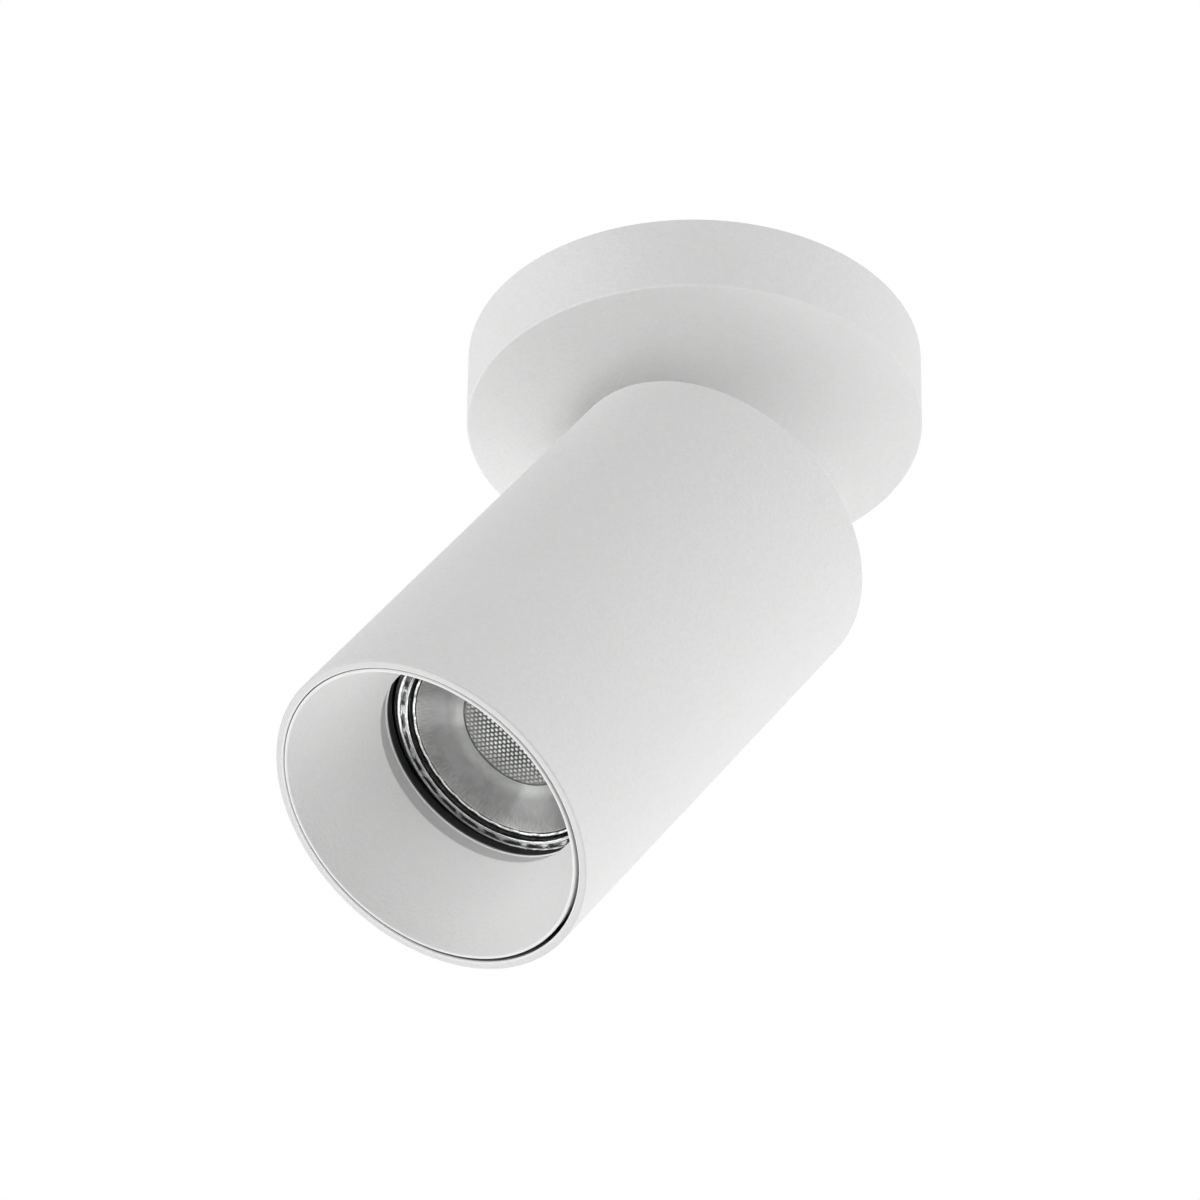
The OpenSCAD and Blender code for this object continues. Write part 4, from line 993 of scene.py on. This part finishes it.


# Clear lens over the reflector, with light and shade painted into its colour: a painted lighter band round its
# dimples, painted highlights and shade on the dimples, fine radial lines and a painted bright edge
def makeLensPlastic(values):
    finish = Finish("lensPlastic", values["colour"], values["roughness"], values["metallic"])
    finish.turnToHead(lampValues["aside"], lampValues["face"])
    axis = finish.place("roundAxis")
    tree = finish.tree
    radius = axis.outputs["Radius"]
    smudge = noiseNode(tree, finish.position, values["smudges"], 4, 0.62, 0.6)
    spokes = tree.nodes.new("ShaderNodeCombineXYZ")
    tree.links.new(mathNode(tree, "MULTIPLY", axis.outputs["Turn"], values["lines"]), spokes.inputs["X"])
    tree.links.new(mathNode(tree, "MULTIPLY", radius, 0.55), spokes.inputs["Y"])
    lines = noiseNode(tree, spokes.outputs[0], 1, 2, 0.6)
    lineReach = rangeNode(
        tree, radius, values["linesFrom"], values["linesTo"], values["lineLeast"], values["lineMost"]
    )
    lineShade = mathNode(tree, "MULTIPLY_ADD", rangeNode(tree, lines, 0.3, 0.7, -0.5, 0.5), lineReach, 1)
    # Painted highlights and shade on the dimples, strongest near the middle
    cell = finish.place("hexCells", Pitch=lensValues["dimplePitch"] / 1000).outputs["Cell"]
    middle = values["middle"]
    contrast = rangeNode(tree, radius, middle - values["dotsFrom"], middle - values["dotsTo"], 1, 0.1)
    dimpleHighlights = mathNode(tree, "MULTIPLY_ADD", rangeNode(tree, cell, 0.12, 0.75, -1.2, 2.2), contrast, values["dimpleHighlights"])
    inside = mathNode(tree, "LESS_THAN", radius, middle - 0.15)
    outside = mathNode(tree, "SUBTRACT", 1, inside)
    around = mathNode(tree, "MULTIPLY", profileNode(tree, radius, values["lightAndShadeRings"]), lineShade)
    zones = mathNode(tree, "MULTIPLY_ADD", dimpleHighlights, inside, mathNode(tree, "MULTIPLY", around, outside))
    finish.shade(mathNode(tree, "MULTIPLY", zones, rangeNode(tree, smudge, 0.3, 0.7, 0.78, 1.16)))
    edge = mathNode(tree, "GREATER_THAN", radius, values["edgeRadius"])
    metallic = mathNode(tree, "MULTIPLY_ADD", edge, values["edgeMetallic"], values["metallic"])
    tree.links.new(metallic, finish.shader.inputs["Metallic"])
    finish.bump(mathNode(tree, "MULTIPLY_ADD", lines, lineReach, smudge), values["depth"] * 1e-6)
    finish.shader.inputs["Coat Weight"].default_value = values["coat"]
    finish.shader.inputs["Coat Roughness"].default_value = values["coatRoughness"]
    return finish


finishes["lensPlastic"] = makeLensPlastic(lensFinish)

boardValues = {
    "board": (0.82, 0.82, 0.80), "phosphor": (0.85, 0.66, 0.12), "roughness": 0.45, "chipRadius": 4.6, "grain": 2500,
    "depth": 5,
}


# White board with a round yellow phosphor chip
def makeBoard(values):
    finish = Finish("ledBoard", values["board"], values["roughness"])
    finish.turnToHead(lampValues["aside"], lampValues["face"])
    axis = finish.place("roundAxis")
    grain = noiseNode(finish.tree, finish.position, values["grain"], 2)
    inside = mathNode(finish.tree, "LESS_THAN", axis.outputs["Radius"], values["chipRadius"])
    mixed = finish.tree.nodes.new("ShaderNodeMix")
    mixed.data_type = "RGBA"
    for socket in mixed.inputs:
        if socket.type == "RGBA":
            socket.default_value = (*values["board"], 1) if socket.name == "A" else (*values["phosphor"], 1)
    finish.tree.links.new(inside, mixed.inputs["Factor"])
    colour = next(socket for socket in mixed.outputs if socket.type == "RGBA")
    finish.shade(rangeNode(finish.tree, grain, 0.3, 0.7, 0.9, 1.0), colour)
    finish.bump(grain, values["depth"] * 1e-6)
    return finish


finishes["ledBoard"] = makeBoard(boardValues)
print("materials made")

# What each node is made of: (finish, material slot of the record)
nodeFinishes = {
    "whitePowder": ("white_paint", ["canopy", "swivel_stem"]),
    "casingPaint": ("white_aluminium", ["head_casing"]),
    "insertMoulding": ("white_plastic", ["baffle_insert"]),
    "ringPlastic": ("black_plastic", ["lamp_ring"]),
    "zincPlate": ("zinc_steel", [
        "ceiling_bracket", "hinge_bracket", "holder_bridge", "block_screw", "earth_screw", "stop_peg", "stop_disc",
        "hinge_screws", "body_screws", "body_nuts", "holder_screws", "holder_nuts", "terminal_screws", "side_screws",
    ]),
    "springSteel": ("spring_steel", ["insert_springs", "spring_washers"]),
    "turnedBrass": ("brass", ["terminal_sleeves", "earth_washer", "stem_nut", "lock_nut", "holder_contacts"]),
    "nylonMoulding": ("nylon", ["terminal_block", "swivel_washer_inner", "swivel_washer_outer", "friction_washers"]),
    "steatite": ("ceramic", ["lampholder", "lamp_base"]),
    "siliconeSleeve": ("lead_sleeving", ["supply_leads", "stem_lead_sleeve", "holder_leads"]),
    "nickelPlate": ("nickel", ["lamp_pins"]),
    "silveredGlass": ("lamp_glass", ["lamp_cup"]),
    "lensPlastic": ("lens_plastic", ["lamp_lens"]),
    "ledBoard": ("board", ["lamp_led_board"]),
}


def dressPieces():
    bodyOf = {}
    for body, members in frame["record"]["behaviour"]["bodies"].items():
        for node in members:
            bodyOf[node] = body
    for name, (slot, nodes) in nodeFinishes.items():
        material = finishes[name].material
        for node in nodes:
            piece = pieces.get(node, frame["nodes"][node])
            piece.data.materials.clear()
            piece.data.materials.append(material)
            if node in pieces:
                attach(piece, bodyOf[node])
                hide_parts(node)


dressPieces()
print("pieces dressed")

# Floor, world and lamps

floorValues = {"height": -1.35, "size": 24, "colour": (0.9, 0.9, 0.9), "roughness": 0.8, "glow": 0.75}
lightValues = {
    "world": 0.48,
    "aim": (-0.02, -0.01, -0.07),
    "lamps": [
        # name, place, size, power in watts
        ("leftLamp", (-1.9, -0.3, -0.35), 1.5, 10.6),
        ("leftFrontLamp", (-1.5, -1.5, -0.4), 1.2, 10.0),
        ("rightLamp", (1.9, -0.3, -0.35), 1.5, 9.5),
        ("rightHighLamp", (1.7, -0.3, 0.8), 1.2, 8.4),
        ("lowLamp", (0.0, 0.5, -1.2), 1.4, 9.4),
    ],
}


white = (1, 1, 1, 1)


# What the camera, glossy and transmission rays see mixed in over what lights the object
def mixSeen(tree, light, seen, share=1):
    mix = tree.nodes.new("ShaderNodeMixShader")
    path = tree.nodes.new("ShaderNodeLightPath")
    rays = mathNode(tree, "MAXIMUM", path.outputs["Is Camera Ray"], path.outputs["Is Glossy Ray"])
    rays = mathNode(tree, "MAXIMUM", rays, path.outputs["Is Transmission Ray"])
    tree.links.new(mathNode(tree, "MULTIPLY", rays, share), mix.inputs["Fac"])
    tree.links.new(light.outputs[0], mix.inputs[1])
    tree.links.new(seen.outputs[0], mix.inputs[2])
    return mix.outputs[0]


def addFloor(values):
    bpy.ops.mesh.primitive_plane_add(size=values["size"], location=(0, 0, values["height"]))
    floor = bpy.context.object
    floor.name = "paleFloor"
    material = bpy.data.materials.new("paleFloor")
    material.use_nodes = True
    tree = material.node_tree
    shader = tree.nodes["Principled BSDF"]
    shader.inputs["Base Color"].default_value = (*values["colour"], 1)
    shader.inputs["Roughness"].default_value = values["roughness"]
    light = tree.nodes.new("ShaderNodeEmission")
    light.inputs["Color"].default_value = white
    tree.links.new(mixSeen(tree, shader, light, values["glow"]), tree.nodes["Material Output"].inputs["Surface"])
    floor.data.materials.append(material)


def addWorld(strength):
    world = bpy.data.worlds.new("studioWorld")
    bpy.context.scene.world = world
    world.use_nodes = True
    tree = world.node_tree
    light = tree.nodes["Background"]
    light.inputs["Color"].default_value = white
    light.inputs["Strength"].default_value = strength
    seen = tree.nodes.new("ShaderNodeBackground")
    seen.inputs["Color"].default_value = white
    seen.inputs["Strength"].default_value = 1
    tree.links.new(mixSeen(tree, light, seen), tree.nodes["World Output"].inputs["Surface"])


def addLamps(lamps, aim):
    for name, place, size, power in lamps:
        bpy.ops.object.light_add(type="AREA", location=place)
        lamp = bpy.context.object
        lamp.name = name
        lamp.data.size = size
        lamp.data.energy = power
        lamp.rotation_euler = (Vector(aim) - Vector(place)).to_track_quat("-Z", "Y").to_euler()


addFloor(floorValues)
addWorld(lightValues["world"])
addLamps(lightValues["lamps"], lightValues["aim"])
bpy.context.scene.view_settings.view_transform = "Standard"
print("studio lit")
